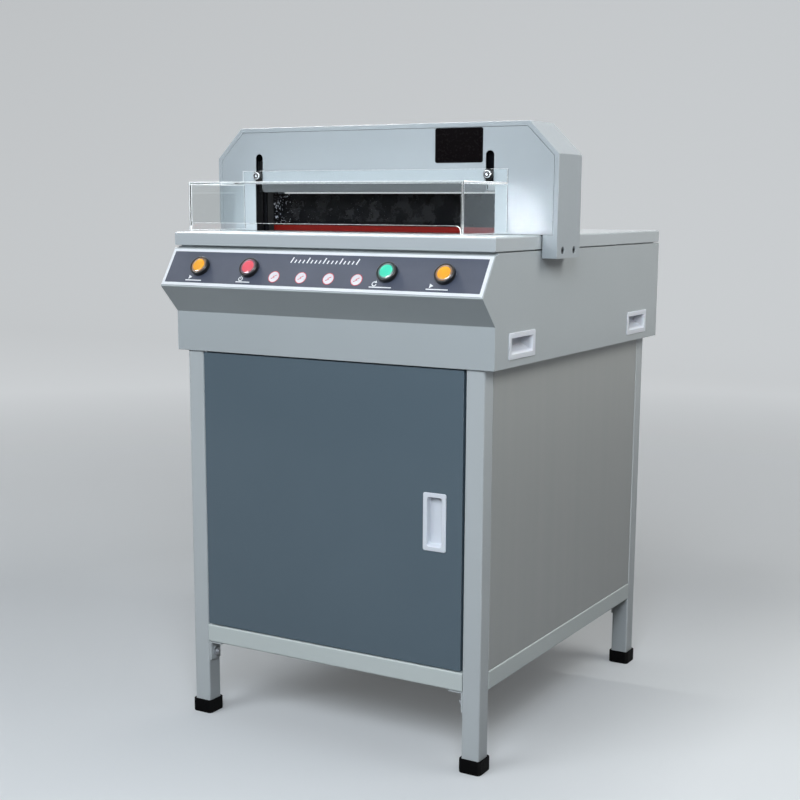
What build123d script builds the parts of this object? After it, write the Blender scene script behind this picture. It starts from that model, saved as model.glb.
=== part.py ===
from build123d import *
from math import atan2, degrees, hypot
import os

# An electric paper cutter on its cabinet stand. X is the width, Y runs from the operator
# to the back and Z is up. The origin is on the floor, under the middle of the machine.

# Shared by every cut and seat
overrun = 4.0
seat_gap = 0.3
slip_gap = 0.1
hexagon_sides = 6

# Stand: square tube legs and rails
stand_width = 574.0
stand_depth = 680.0
stand_height = 656.0
tube_side = 32.0
tube_wall = 1.5
tube_corner = 3.0
rail_low = 135.0
cap_height = 24.0
cap_wall = 4.0
cap_edge = 2.0
top_rail_side = 20.0
bracket_height = 35.0
bracket_width = 26.0
bracket_thick = 3.0
bracket_bolt_radius = 4.0
bracket_bolt_stub = 3.2
bracket_bolt_head = 7.5
bracket_bolt_head_height = 5.0
bracket_bolt_reach = 3.0
bolt_drop_share = 0.6

# Cabinet: inset panels, floor and door
panel_skin = 1.0
panel_return = 12.0
panel_inset = 0.8
panel_gap = 0.8
panel_edge = 0.9
floor_thick = 1.2
door_skin = 1.2
door_depth = 16.0
door_lip = 12.0
door_gap_left = 1.6
door_gap_right = 3.7
door_gap_bottom = 2.0
door_gap_top = 2.5
pivot_inset = 3.0
pivot_radius = 1.5
pivot_collar_radius = 2.5
pivot_reach = 8.5
pull_width = 42.0
pull_height = 95.0
pull_from_right = 27.8
pull_below_stand_top = 247.5
pull_rim_proud = 1.6
pull_rim_edge = 1.2
pull_corner = 3.5
pull_pocket_width = 27.0
pull_pocket_height = 81.0
pull_pocket_depth = 12.0
pull_pocket_taper = 4.0
pull_pocket_corner = 5.0
pull_wall = 1.5
catch_width = 60.0
catch_height = 14.0
catch_thick = 1.7

# Machine body: folded sheet casing with the sloped console
body_side_reach = 18.5
body_height = 177.6
body_wall = 2.0
body_front_reach = 4.5
body_back_reach = 18.0
nose_reach = 48.0
console_top_reach = 6.7
console_lip = 9.0
console_step = 2.8
console_rise = 62.8
nose_undercut = 45.0
body_flange = 12.0
pan_thick = 3.0
side_frame_inset = 6.0
side_frame_thick = 8.0
side_frame_end_gap = 20.0
cup_width = 96.0
cup_height = 42.0
cup_rim_proud = 1.5
cup_rim_edge = 0.9
cup_corner = 3.0
cup_border = 8.5
cup_depth = 17.0
cup_taper = 12.0
cup_wall = 1.6
cup_rise = 33.4
cup_end_inset = 91.0
vent_width = 4.0
vent_height = 42.0
vent_pitch = 11.0
vent_count = 12
vent_first_x = -110.0
vent_rise = 89.0
inlet_width = 27.5
inlet_height = 20.0
inlet_depth = 24.0
inlet_flange = 6.0
inlet_wall = 1.5
inlet_sink = 1.0
inlet_from_right = 77.0
inlet_rise = 44.0
inlet_pin_width = 2.0
inlet_pin_height = 4.0
inlet_pin_length = 15.0
inlet_pin_spacing = 7.0

# Console controls
console_panel_thick = 1.0
console_panel_inset = 2.5
console_panel_side_inset = 1.5
overlay_border = 5.3
overlay_thick = 0.3
button_outer_share = 0.7627
button_inner_share = 0.4304
button_up_slope = 37.6
bezel_radius = 17.0
bezel_height = 8.5
bezel_edge = 1.2
bezel_barrel_radius = 11.0
bezel_barrel_length = 26.0
bezel_bore_radius = 9.2
button_cap_radius = 14.0
button_cap_gap = 0.4
button_cap_below = 0.3
button_cap_thick = 4.0
button_cap_edge = 1.2
button_travel = 3.0
button_stem_radius = 6.0
button_stem_length = 16.0
disc_radius = 10.5
disc_thick = 0.4
disc_spacing_share = 0.3993
disc_count = 4
disc_up_slope = 24.0

# Tables and knife bed
table_height = 24.0
table_front_reach = 7.1
table_skin = 2.0
table_edge = 3.5
table_back_reach = 16.0
table_shadow_gap = 1.8
table_foot_inset = 8.0
bed_side_gap = 4.5
bed_base_height = 16.6
bed_front_gap = 3.0
bed_back_gap = 3.1
stick_width = 10.0
stick_depth = 10.0
stick_end_gap = 15.0
gauge_slot_width = 26.0
gauge_slot_margin = 16.0

# Gantry over the table
gantry_side_reach = 27.3
gantry_setback = 155.0
gantry_depth = 91.1
gantry_rise = 178.4
gantry_foot_drop = 12.6
gantry_chamfer = 51.6
chamfer_inset_share = 2 - 2 ** 0.5
gantry_skin = 2.0
gantry_edge = 1.0
gantry_rim = 7.8
gantry_seam = 0.4
gantry_foot_gap = 1.5
plate_foot_gap = 0.6
foot_block_drop = 10.6
foot_block_height = 27.0
side_screw_setbacks = (23.0, 68.0)
side_screw_radius = 3.0
side_screw_head = 5.8
side_screw_head_height = 5.0
side_screw_sink = 1.0
side_screw_socket = 2.8
side_screw_socket_depth = 3.0
side_screw_depth = 12.0
upright_width = 36.0
upright_below_top = 28.0
bridge_thick = 7.7
bridge_rise = 72.4
tie_below_upright = 3.0
tie_height = 20.0
tie_depth = 30.0

# Cutting opening and the two guard slots in the front plate
opening_left_margin = 14.2
opening_right_margin = 45.3
opening_height = 67.4
opening_corner = 6.0
rear_opening_height = 73.4
slot_width = 15.0

# Clear guard
guard_left_reach = 26.6
guard_right_reach = 26.3
guard_thick = 4.0
guard_front_reach = 1.9
guard_height = 83.4
guard_bottom_gap = 2.8
guard_front_gap = 15.4
guard_front_corner = 8.0
guard_flange_height = 21.0
guard_bolt_rise = 12.5
guard_bolt_radius = 3.0
guard_washer_radius = 9.0
guard_washer_thick = 1.6
guard_head_radius = 6.6
guard_head_height = 5.0
guard_head_edge = 1.7
guard_head_socket = 2.5
guard_head_socket_depth = 3.0
guard_block_width = 20.0
guard_block_height = 18.0
guard_travel = 30.0

# Knife and its drive
knife_shift = 28.0
knife_left_gap = 9.0
knife_right_gap = 3.0
knife_end_gap = 0.3
carriage_rise = 80.4
carriage_height = 93.0
carriage_thick = 20.0
blade_thick = 8.0
blade_rise = 70.4
blade_height = 61.0
blade_bevel_height = 18.0
blade_edge_flat = 0.4
knife_bolt_radius = 4.0
knife_bolt_head = 6.5
knife_bolt_head_height = 4.0
knife_bolt_socket = 3.2
knife_bolt_socket_depth = 2.4
knife_bolt_count = 5
knife_bolt_end_inset = 35.0
knife_bolt_above_low = 30.0
guide_pin_radius = 6.0
guide_pin_inset = 100.0
guide_pin_rise = 12.0
guide_pin_reach = 10.0
pull_rod_inset = 11.0
pull_rod_pin_radius = 5.0
pull_rod_half_width = 7.0
pull_rod_thick = 6.0
pull_rod_eye = 10.0
pull_rod_web = 3.0
roller_radius = 7.0
roller_length = 10.0
nut_bed_gap = 4.0
nut_left_reach = 42.0
nut_depth = 44.0
nut_height = 24.0
drive_screw_radius = 9.0
drive_screw_setback = 28.0
drive_screw_sink = 16.0
gearbox_width = 66.0
gearbox_depth = 64.0
gearbox_nut_gap = 2.9
gearbox_right_gap = 5.0
gearbox_edge = 6.0
motor_radius = 34.0
motor_gap = 11.0
motor_fan_cover = 26.0
motor_fan_edge = 6.0
fan_cover_share = 0.94
saddle_share = 0.8
foot_inset_share = 0.25

# Clamp and its drive
clamp_knife_gap = 1.0
clamp_thick = 15.0
clamp_rise = 68.4
clamp_height = 54.0
clamp_side_gap = 0.8
clamp_end_gap = 0.9
clamp_rod_inset = 7.5
clamp_rod_radius = 5.0
crosshead_bed_gap = 17.0
crosshead_height = 15.0
crosshead_motor_gap = 8.5
clamp_screw_radius = 7.0
clamp_screw_gap = 4.0
clamp_screw_sink = 8.0
clamp_motor_side = 56.0
clamp_motor_corner = 5.6

# Back gauge and its drive
gauge_clamp_gap = 2.0
gauge_side_gap = 4.7
gauge_opening_gap = 2.0
gauge_thick = 12.0
gauge_sole_height = 9.6
gauge_sole_depth = 9.0
gauge_sole_proud = 0.8
gauge_chamfer = 8.0
gauge_rib_depth = 18.0
gauge_rib_thick = 8.0
gauge_rib_count = 6
gauge_arm_thick = 12.0
gauge_arm_width = 24.0
gauge_nut_gap = 2.0
gauge_nut_depth = 15.0
gauge_nut_reach = 15.0
gauge_screw_drop = 22.0
gauge_screw_radius = 7.0
gauge_screw_sink = 10.0
gauge_bearing_setback = 33.0
gauge_bearing_width = 40.0
gauge_bearing_depth = 14.0
crossbar_back_gap = 40.0
crossbar_thick = 12.0
crossbar_reach = 30.0
gauge_motor_side = 42.0
gauge_motor_length = 40.0
gauge_motor_corner = 4.2
gauge_motor_shaft_sink = 6.0
control_box_size = (180.0, 100.0, 62.0)
control_box_left = 210.0
control_box_setback = 40.0
control_box_edge = 1.5

# Places worked out from the sizes above; depths are measured back from the stand's front
overall_depth = nose_reach + stand_depth + body_back_reach
stand_front = nose_reach - overall_depth / 2
stand_back = stand_front + stand_depth
half_stand = stand_width / 2
rail_high = rail_low + tube_side
bracket_bolt_z = rail_low - bracket_height * bolt_drop_share
side_frame_centre = half_stand - side_frame_inset
side_frame_inner = side_frame_centre - side_frame_thick / 2

body_front = stand_front - body_front_reach
body_back = stand_back + body_back_reach
half_body = half_stand + body_side_reach
body_top = stand_height + body_height
console_top_z = body_top - console_step
nose_z = console_top_z - console_rise
knee_z = nose_z - nose_undercut
pan_top = stand_height + pan_thick
cup_centre_z = stand_height + cup_rise
cup_centres = (stand_front + cup_end_inset, stand_back - cup_end_inset)
button_outer = half_body * button_outer_share
button_inner = half_body * button_inner_share
button_places = (-button_outer, -button_inner, button_inner, button_outer)
disc_spacing = button_inner * disc_spacing_share
inlet_x = half_stand - inlet_from_right
inlet_z = stand_height + inlet_rise

table_top = body_top + table_height
bed_low = body_top - bed_base_height
bed_half = half_body - bed_side_gap
upright_inner = bed_half - upright_width

half_gantry = half_body + gantry_side_reach
gantry_front = stand_front + gantry_setback
gantry_back = gantry_front + gantry_depth
gantry_top = table_top + gantry_rise
gantry_low = body_top - gantry_foot_drop
cavity_front = gantry_front + gantry_skin
cavity_back = gantry_back - gantry_skin
bridge_back = cavity_front + bridge_thick
upright_top = gantry_top - upright_below_top

opening_left = -upright_inner + opening_left_margin
opening_right = upright_inner - opening_right_margin
opening_middle = (opening_left + opening_right) / 2
opening_top = table_top + opening_height
slot_centres = (opening_left + slot_width / 2, opening_right - slot_width / 2)
guard_left = opening_left - guard_left_reach
guard_right = opening_right + guard_right_reach
guard_top = table_top + guard_height
guard_bolt_z = guard_top + guard_bolt_rise
slot_top = guard_bolt_z + guard_travel + slot_width / 2

carriage_front = bridge_back + seat_gap
carriage_back = carriage_front + carriage_thick
carriage_low = table_top + carriage_rise
carriage_left = -upright_inner + knife_shift + knife_left_gap
carriage_right = upright_inner - knife_right_gap
blade_front = carriage_back - blade_thick
blade_low = table_top + blade_rise
blade_high = blade_low + blade_height
knife_drop = blade_rise - knife_end_gap
knife_bolt_z = blade_low + knife_bolt_above_low
guide_pin_x = upright_inner - guide_pin_inset
guide_pin_z = carriage_low + guide_pin_rise
pull_rod_x = upright_inner - pull_rod_inset
pull_rod_front = carriage_front + pull_rod_web + seat_gap
roller_z = bed_low - nut_bed_gap - nut_height / 2
nut_low = roller_z - nut_height / 2
nut_high = roller_z + nut_height / 2
drive_screw_x = pull_rod_x - knife_shift / 2
drive_screw_y = pull_rod_front - drive_screw_setback
gearbox_top = nut_low - knife_drop - gearbox_nut_gap
gearbox_right = side_frame_inner - gearbox_right_gap
gearbox_left = gearbox_right - gearbox_width

clamp_front = carriage_back + clamp_knife_gap
clamp_middle_y = clamp_front + clamp_thick / 2
clamp_low = table_top + clamp_rise
clamp_travel = clamp_rise - clamp_end_gap
clamp_rod_x = upright_inner - clamp_rod_inset
crosshead_high = bed_low - crosshead_bed_gap
crosshead_low = crosshead_high - crosshead_height
clamp_motor_top = crosshead_low - clamp_travel - crosshead_motor_gap

gauge_front = clamp_front + clamp_thick + gauge_clamp_gap
gauge_back = gauge_front + gauge_thick
gauge_left = opening_left + gauge_side_gap
gauge_right = opening_right - gauge_side_gap
gauge_middle = (gauge_left + gauge_right) / 2
gauge_low = table_top + seat_gap
gauge_top = opening_top - gauge_opening_gap
gauge_screw_z = bed_low - gauge_screw_drop
bearing_front = gauge_front + gauge_bearing_setback
nut_arm_front = bearing_front + gauge_bearing_depth + gauge_nut_gap
crossbar_front = stand_back - crossbar_back_gap
crossbar_back = crossbar_front + crossbar_thick


def block(x0, x1, y0, y1, z0, z1):
    """A box given by its low and high places along X, Y and Z."""
    return Pos((x0 + x1) / 2, (y0 + y1) / 2, (z0 + z1) / 2) * Box(x1 - x0, y1 - y0, z1 - z0)


def round_x(x0, x1, y, z, radius):
    return Pos((x0 + x1) / 2, y, z) * Rot(0, 90, 0) * Cylinder(radius, x1 - x0)


def round_y(x, y0, y1, z, radius):
    return Pos(x, (y0 + y1) / 2, z) * Rot(90, 0, 0) * Cylinder(radius, y1 - y0)


def round_z(x, y, z0, z1, radius):
    return Pos(x, y, (z0 + z1) / 2) * Cylinder(radius, z1 - z0)


def hollow(low, high, wall, open_sides):
    """A sheet box from its low to its high corner, without the sides named like -x or +z."""
    inner_low = [value + wall for value in low]
    inner_high = [value - wall for value in high]
    for side in open_sides:
        axis = "xyz".index(side[1])
        if side[0] == "-":
            inner_low[axis] = low[axis] - overrun
        else:
            inner_high[axis] = high[axis] + overrun
    outer = block(low[0], high[0], low[1], high[1], low[2], high[2])
    return outer - block(
        inner_low[0], inner_high[0], inner_low[1], inner_high[1], inner_low[2], inner_high[2]
    )


def plate_xz(outline, y0, y1):
    """A flat outline in X and Z, as thick as the way from y0 to y1."""
    face = Plane.XZ * outline
    return Pos(0, y1, 0) * extrude(face, y1 - y0)


def plate_yz(outline, x0, x1):
    """A flat outline in Y and Z, as thick as the way from x0 to x1."""
    face = Plane.YZ * outline
    return Pos(x0, 0, 0) * extrude(face, x1 - x0)


def polygon(points):
    return make_face(Polyline(*points, close=True))


def hex_socket(radius, depth):
    return extrude(RegularPolygon(radius, hexagon_sides), depth)


# Stand


def square_tube(length, side, wall, corner):
    outer = RectangleRounded(side, side, corner)
    bore = RectangleRounded(side - 2 * wall, side - 2 * wall, corner - wall)
    return extrude(outer - bore, length)


def leg_places():
    x = half_stand - tube_side / 2
    front = stand_front + tube_side / 2
    back = stand_back - tube_side / 2
    return [(-x, front), (x, front), (-x, back), (x, back)]


def stand_legs():
    tube = square_tube(stand_height - cap_wall, tube_side, tube_wall, tube_corner)
    legs = []
    for x, y in leg_places():
        inner = x - tube_side / 2 if x > 0 else x + tube_side / 2
        hole = round_x(inner - 2 * tube_wall, inner + 2 * tube_wall, y, bracket_bolt_z,
                       bracket_bolt_radius + slip_gap)
        legs.append(Pos(x, y, cap_wall) * tube - hole)
    return legs


def foot_caps():
    side = tube_side + 2 * cap_wall
    outer = extrude(RectangleRounded(side, side, tube_corner + cap_wall), cap_height)
    outer = fillet(outer.edges().group_by(Axis.Z)[0], cap_edge)
    outer = fillet(outer.edges().group_by(Axis.Z)[-1], cap_edge / 2)
    pocket = RectangleRounded(tube_side, tube_side, tube_corner)
    cap = outer - Pos(0, 0, cap_wall) * extrude(pocket, cap_height)
    return [Pos(x, y, 0) * cap for x, y in leg_places()]


def bottom_cross_rails():
    length = stand_width - 2 * tube_side
    rail = Rot(0, 90, 0) * square_tube(length, tube_side, tube_wall, tube_corner)
    z = rail_low + tube_side / 2
    ends = (stand_front + tube_side / 2, stand_back - tube_side / 2)
    return [Pos(-length / 2, y, z) * rail for y in ends]


def bottom_side_rails():
    length = stand_depth - 2 * tube_side
    rail = Rot(-90, 0, 0) * square_tube(length, tube_side, tube_wall, tube_corner)
    x = half_stand - tube_side / 2
    z = rail_low + tube_side / 2
    return [Pos(side * x, stand_front + tube_side, z) * rail for side in (-1, 1)]


def top_cross_rails():
    """Upper rails behind the door and in front of the back panel."""
    length = 2 * (half_stand - panel_inset - panel_return - top_rail_side)
    tube = square_tube(length, top_rail_side, tube_wall, tube_corner)
    rail = Rot(0, 90, 0) * tube
    z = stand_height - top_rail_side / 2
    front = stand_front + door_depth + seat_gap + catch_thick + top_rail_side / 2
    back = stand_back - panel_return - panel_inset - top_rail_side / 2
    return [Pos(-length / 2, y, z) * rail for y in (front, back)]


def top_side_rails():
    length = stand_depth - 2 * tube_side
    tube = square_tube(length, top_rail_side, tube_wall, tube_corner)
    rail = Rot(-90, 0, 0) * tube
    x = half_stand - panel_inset - panel_return - top_rail_side / 2
    z = stand_height - top_rail_side / 2
    return [Pos(side * x, stand_front + tube_side, z) * rail for side in (-1, 1)]


def corner_brackets():
    """Angle pieces under the front and rear rails, against the inner side of each leg."""
    brackets = []
    for x, y in leg_places():
        side = 1 if x > 0 else -1
        wall_x = side * (half_stand - tube_side)
        y0 = y - bracket_width / 2
        y1 = y + bracket_width / 2
        upright = block(
            min(wall_x, wall_x - side * bracket_thick),
            max(wall_x, wall_x - side * bracket_thick),
            y0, y1, rail_low - bracket_height, rail_low,
        )
        shelf = block(
            min(wall_x, wall_x - side * bracket_width),
            max(wall_x, wall_x - side * bracket_width),
            y0, y1, rail_low - bracket_thick, rail_low,
        )
        hole = round_x(wall_x - bracket_width, wall_x + bracket_width, y, bracket_bolt_z,
                       bracket_bolt_radius + slip_gap)
        brackets.append(upright + shelf - hole)
    return brackets


def bracket_bolts():
    """Studs through the brackets into the legs, with a hexagon nut on the inner side."""
    bolts = []
    for x, y in leg_places():
        side = 1 if x > 0 else -1
        wall_x = side * (half_stand - tube_side)
        head = extrude(RegularPolygon(bracket_bolt_head, hexagon_sides), bracket_bolt_head_height)
        shank_length = bracket_thick + 2 * tube_wall
        shank = Pos(0, 0, -shank_length / 2) * Cylinder(bracket_bolt_radius, shank_length)
        stub = Cylinder(bracket_bolt_stub, bracket_bolt_reach)
        bolt = head + shank + Pos(0, 0, bracket_bolt_head_height + bracket_bolt_reach / 2) * stub
        turn = Rot(0, -90, 0) if side > 0 else Rot(0, 90, 0)
        bolts.append(Pos(wall_x - side * bracket_thick, y, bracket_bolt_z) * turn * bolt)
    return bolts


# Cabinet


def inset_panel(low, high, face):
    """A folded pan: skin on the named face, returns on its four edges."""
    opposite = {"-x": "+x", "+x": "-x", "-y": "+y", "+y": "-y"}[face]
    pan = hollow(low, high, panel_skin, (opposite,))
    axis = Axis.X if face[1] == "x" else Axis.Y
    outside = pan.faces().sort_by(axis)[0 if face[0] == "-" else -1]
    return fillet(outside.outer_wire().edges(), panel_edge)


def side_panel(side):
    outer = half_stand - panel_inset
    inner = outer - panel_return
    x0, x1 = (inner, outer) if side > 0 else (-outer, -inner)
    low = (x0, stand_front + tube_side + panel_gap, rail_high)
    high = (x1, stand_back - tube_side - panel_gap, stand_height - panel_gap)
    return inset_panel(low, high, "+x" if side > 0 else "-x")


def back_panel():
    x = half_stand - tube_side - panel_gap
    outer = stand_back - panel_inset
    low = (-x, outer - panel_return, rail_high)
    high = (x, outer, stand_height - panel_gap)
    return inset_panel(low, high, "+y")


def floor_panel():
    """Cabinet floor lying on the bottom rails, notched round the four legs."""
    front = stand_front + door_depth + panel_inset
    back = stand_back - panel_inset - panel_return - panel_gap
    wide = half_stand - panel_inset - panel_return - panel_gap
    narrow = half_stand - tube_side - panel_gap
    leg_inner = tube_side + panel_gap
    z1 = rail_high + floor_thick
    middle = block(-wide, wide, stand_front + leg_inner, stand_back - leg_inner, rail_high, z1)
    return middle + block(-narrow, narrow, front, back, rail_high, z1)


door_left = -half_stand + tube_side + door_gap_left
door_right = half_stand - tube_side - door_gap_right
door_low = rail_high + door_gap_bottom
door_high = stand_height - door_gap_top
pull_x = door_right - pull_from_right - pull_width / 2
pull_z = stand_height - pull_below_stand_top
pivot_x = door_left + pivot_inset
pivot_y = stand_front + pivot_inset


def cabinet_door():
    low = (door_left, stand_front, door_low)
    high = (door_right, stand_front + door_depth, door_high)
    door = hollow(low, high, door_skin, ())
    window = block(
        door_left + door_lip, door_right - door_lip,
        stand_front + door_depth - door_skin - overrun, stand_front + door_depth + overrun,
        door_low + door_lip, door_high - door_lip,
    )
    door -= window
    door -= round_z(pivot_x, pivot_y, door_low - overrun, door_high + overrun,
                    pivot_radius + slip_gap / 2)
    front = door.faces().sort_by(Axis.Y)[0]
    door = fillet(front.outer_wire().edges(), panel_edge)
    hole = RectangleRounded(
        pull_pocket_width + 2 * (pull_wall + slip_gap),
        pull_pocket_height + 2 * (pull_wall + slip_gap),
        pull_pocket_corner + pull_wall,
    )
    return door - plate_xz(Pos(pull_x, pull_z) * hole,
                           stand_front - overrun, stand_front + door_skin + overrun)


def door_pull():
    """Flush pull: a rim on the door and a tapered finger pocket behind it."""
    rim_front = stand_front - pull_rim_proud
    rim = RectangleRounded(pull_width, pull_height, pull_corner)
    body = plate_xz(rim, rim_front, stand_front)
    body = fillet(body.faces().sort_by(Axis.Y)[0].outer_wire().edges(), pull_rim_edge)
    tub = RectangleRounded(
        pull_pocket_width + 2 * pull_wall, pull_pocket_height + 2 * pull_wall,
        pull_pocket_corner + pull_wall,
    )
    body += plate_xz(tub, stand_front, rim_front + pull_pocket_depth + pull_wall)
    mouth = RectangleRounded(pull_pocket_width, pull_pocket_height, pull_pocket_corner)
    floor = RectangleRounded(
        pull_pocket_width - pull_pocket_taper, pull_pocket_height - 2 * pull_pocket_taper,
        pull_pocket_corner,
    )
    mouth_face = Pos(0, rim_front, 0) * (Plane.XZ * mouth)
    floor_shift = -pull_pocket_taper / 2
    floor_face = Pos(floor_shift, rim_front + pull_pocket_depth, 0) * (Plane.XZ * floor)
    body -= loft([mouth_face.face(), floor_face.face()])
    return Pos(pull_x, 0, pull_z) * body


def door_pivot_pins():
    """Pins on the lower rail and under the base pan; the door's end flanges turn on them."""
    low = round_z(pivot_x, pivot_y, rail_high, door_low + pivot_reach, pivot_radius)
    low += round_z(pivot_x, pivot_y, rail_high, door_low, pivot_collar_radius)
    high = round_z(pivot_x, pivot_y, door_high - pivot_reach, stand_height, pivot_radius)
    return [low, high]


def door_catch():
    """Magnetic strip on the face of the upper front rail, just behind the door's lip."""
    rail_face = stand_front + door_depth + seat_gap + catch_thick
    x1 = door_right - door_lip
    top = door_high - door_skin
    return block(x1 - catch_width, x1, stand_front + door_depth + seat_gap, rail_face,
                 top - catch_height, top)


# Machine body


def console_profile():
    """Side outline of the casing, from the underside up over the console to the top."""
    top_y = stand_front - console_top_reach
    return [
        (body_front, stand_height),
        (body_front, knee_z),
        (stand_front - nose_reach, nose_z),
        (top_y, console_top_z),
        (top_y + console_lip, console_top_z),
        (top_y + console_lip, body_top),
        (body_back, body_top),
        (body_back, stand_height),
    ]


slope_run = nose_reach - console_top_reach
slope_rise = console_top_z - nose_z
slope_length = hypot(slope_run, slope_rise)
slope_angle = degrees(atan2(slope_rise, slope_run))


def on_slope(x, up_slope, lift=0.0):
    """Place on the console face: local Z points out of it and local Y up the slope."""
    share = up_slope / slope_length
    y = stand_front - nose_reach + slope_run * share
    z = nose_z + slope_rise * share
    return Pos(x, y, z) * Rot(slope_angle, 0, 0) * Pos(0, 0, lift)


def body_shell():
    outline = polygon(console_profile())
    outer = plate_yz(outline, -half_body, half_body)
    inner = offset(outline, -body_wall, kind=Kind.INTERSECTION)
    inner_half = half_body - body_wall
    shell = outer - plate_yz(inner, -inner_half, inner_half)
    top_y = stand_front - console_top_reach + console_lip
    shell -= block(
        -half_body + body_flange, half_body - body_flange, top_y + body_flange,
        body_back - body_flange, body_top - body_wall - overrun, body_top + overrun,
    )
    shell -= block(
        -inner_half, inner_half, body_front + body_wall, body_back - body_wall,
        stand_height - overrun, stand_height + body_wall + overrun,
    )
    bed_gap = block(
        -inner_half, inner_half, gantry_front + bed_front_gap - seat_gap,
        cavity_back + seat_gap, bed_low, body_top + overrun,
    )
    shell -= bed_gap
    for x in button_places:
        place = on_slope(x, button_up_slope)
        shell -= place * Cylinder(bezel_barrel_radius + slip_gap, 2 * overrun)
    shell -= cup_cuts()
    shell -= side_screw_holes()
    shell -= vent_slots()
    half_width = inlet_width / 2 + inlet_flange + slip_gap
    half_height = inlet_height / 2 + inlet_wall + slip_gap
    inlet_hole = block(
        inlet_x - half_width, inlet_x + half_width,
        body_back - body_wall - overrun, body_back + overrun,
        inlet_z - half_height, inlet_z + half_height,
    )
    return shell - inlet_hole


def vent_slots():
    """Row of upright ventilation slots in the back wall, behind the motor."""
    slot = Rot(0, 0, 90) * SlotOverall(vent_height, vent_width)
    slots = []
    for step in range(vent_count):
        x = vent_first_x - step * vent_pitch
        slots.append(plate_xz(Pos(x, stand_height + vent_rise) * slot,
                              body_back - body_wall - overrun, body_back + overrun))
    return slots


def base_pan():
    x = half_body - body_wall
    return block(-x, x, body_front + body_wall, body_back - body_wall, stand_height, pan_top)


def side_frame(side):
    x0 = side * side_frame_centre - side_frame_thick / 2
    low = stand_front + side_frame_end_gap
    high = stand_back + body_back_reach - side_frame_end_gap
    return block(x0, x0 + side_frame_thick, low, high, pan_top, bed_low)


def cup_cuts():
    cuts = []
    width = cup_width - 2 * cup_border + 2 * (cup_wall + slip_gap)
    height = cup_height - 2 * cup_border + 2 * (cup_wall + slip_gap)
    for y in cup_centres:
        for side in (-1, 1):
            x = side * (half_body - body_wall / 2)
            cuts.append(Pos(x, y, cup_centre_z) * Box(2 * body_wall, width, height))
    return cuts


def cup_handles(side):
    """Moulded hand cups let into the side of the casing, two to a side."""
    cups = []
    mouth_width = cup_width - 2 * cup_border
    mouth_height = cup_height - 2 * cup_border
    rim = RectangleRounded(cup_width, cup_height, cup_corner)
    rim_body = extrude(rim, cup_rim_proud)
    rim_body = fillet(rim_body.faces().sort_by(Axis.Z)[-1].outer_wire().edges(), cup_rim_edge)
    tub = Rectangle(mouth_width + 2 * cup_wall, mouth_height + 2 * cup_wall)
    tub_body = extrude(tub, -(cup_depth + cup_wall - cup_rim_proud))
    mouth = Pos(0, 0, cup_rim_proud) * Rectangle(mouth_width, mouth_height)
    floor = Pos(0, cup_taper / 2, cup_rim_proud - cup_depth) * Rectangle(
        mouth_width - 2 * cup_taper, mouth_height - cup_taper
    )
    cup = rim_body + tub_body - loft([mouth.face(), floor.face()])
    for y in cup_centres:
        place = (side * half_body, y, cup_centre_z)
        cups.append(Plane(place, x_dir=(0, side, 0), z_dir=(side, 0, 0)) * cup)
    return cups


def power_inlet():
    """Appliance inlet let into the back wall, with its three contact blades."""
    face = body_back - inlet_sink
    width = inlet_width + 2 * inlet_wall
    height = inlet_height + 2 * inlet_wall
    flange = block(-inlet_width / 2 - inlet_flange, inlet_width / 2 + inlet_flange,
                   face - body_wall, face, -height / 2, height / 2)
    body = block(-width / 2, width / 2, face - inlet_depth, face, -height / 2, height / 2)
    recess = block(-inlet_width / 2, inlet_width / 2, face - inlet_depth + inlet_wall,
                   face + overrun, -inlet_height / 2, inlet_height / 2)
    inlet = flange + body - recess
    pin_back = face - inlet_depth + inlet_wall
    for step, lift in ((-1, -1), (0, 1), (1, -1)):
        x = step * inlet_pin_spacing
        z = lift * inlet_pin_height / 2
        inlet += block(x - inlet_pin_width / 2, x + inlet_pin_width / 2, pin_back,
                       pin_back + inlet_pin_length, z - inlet_pin_height / 2,
                       z + inlet_pin_height / 2)
    return Pos(inlet_x, 0, inlet_z) * inlet


def control_box():
    width, length, height = control_box_size
    y = stand_front + control_box_setback
    box = block(-control_box_left, -control_box_left + width, y, y + length, pan_top,
                pan_top + height)
    return fillet(box.edges().filter_by(Axis.Z), control_box_edge)


# Console controls


def console_panel():
    width = 2 * (half_body - console_panel_side_inset)
    height = slope_length - 2 * console_panel_inset
    plate = extrude(Rectangle(width, height), console_panel_thick)
    plate = on_slope(0, slope_length / 2) * plate
    for x in button_places:
        hole = Cylinder(bezel_barrel_radius + slip_gap, 2 * overrun)
        plate -= on_slope(x, button_up_slope) * hole
    return plate


def console_overlay():
    width = 2 * (half_body - console_panel_side_inset - overlay_border)
    height = slope_length - 2 * console_panel_inset - 2 * overlay_border
    plate = on_slope(0, slope_length / 2, console_panel_thick) * extrude(
        Rectangle(width, height), overlay_thick
    )
    for x in button_places:
        hole = Cylinder(bezel_barrel_radius + slip_gap, 2 * overrun)
        plate -= on_slope(x, button_up_slope) * hole
    return plate


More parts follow.
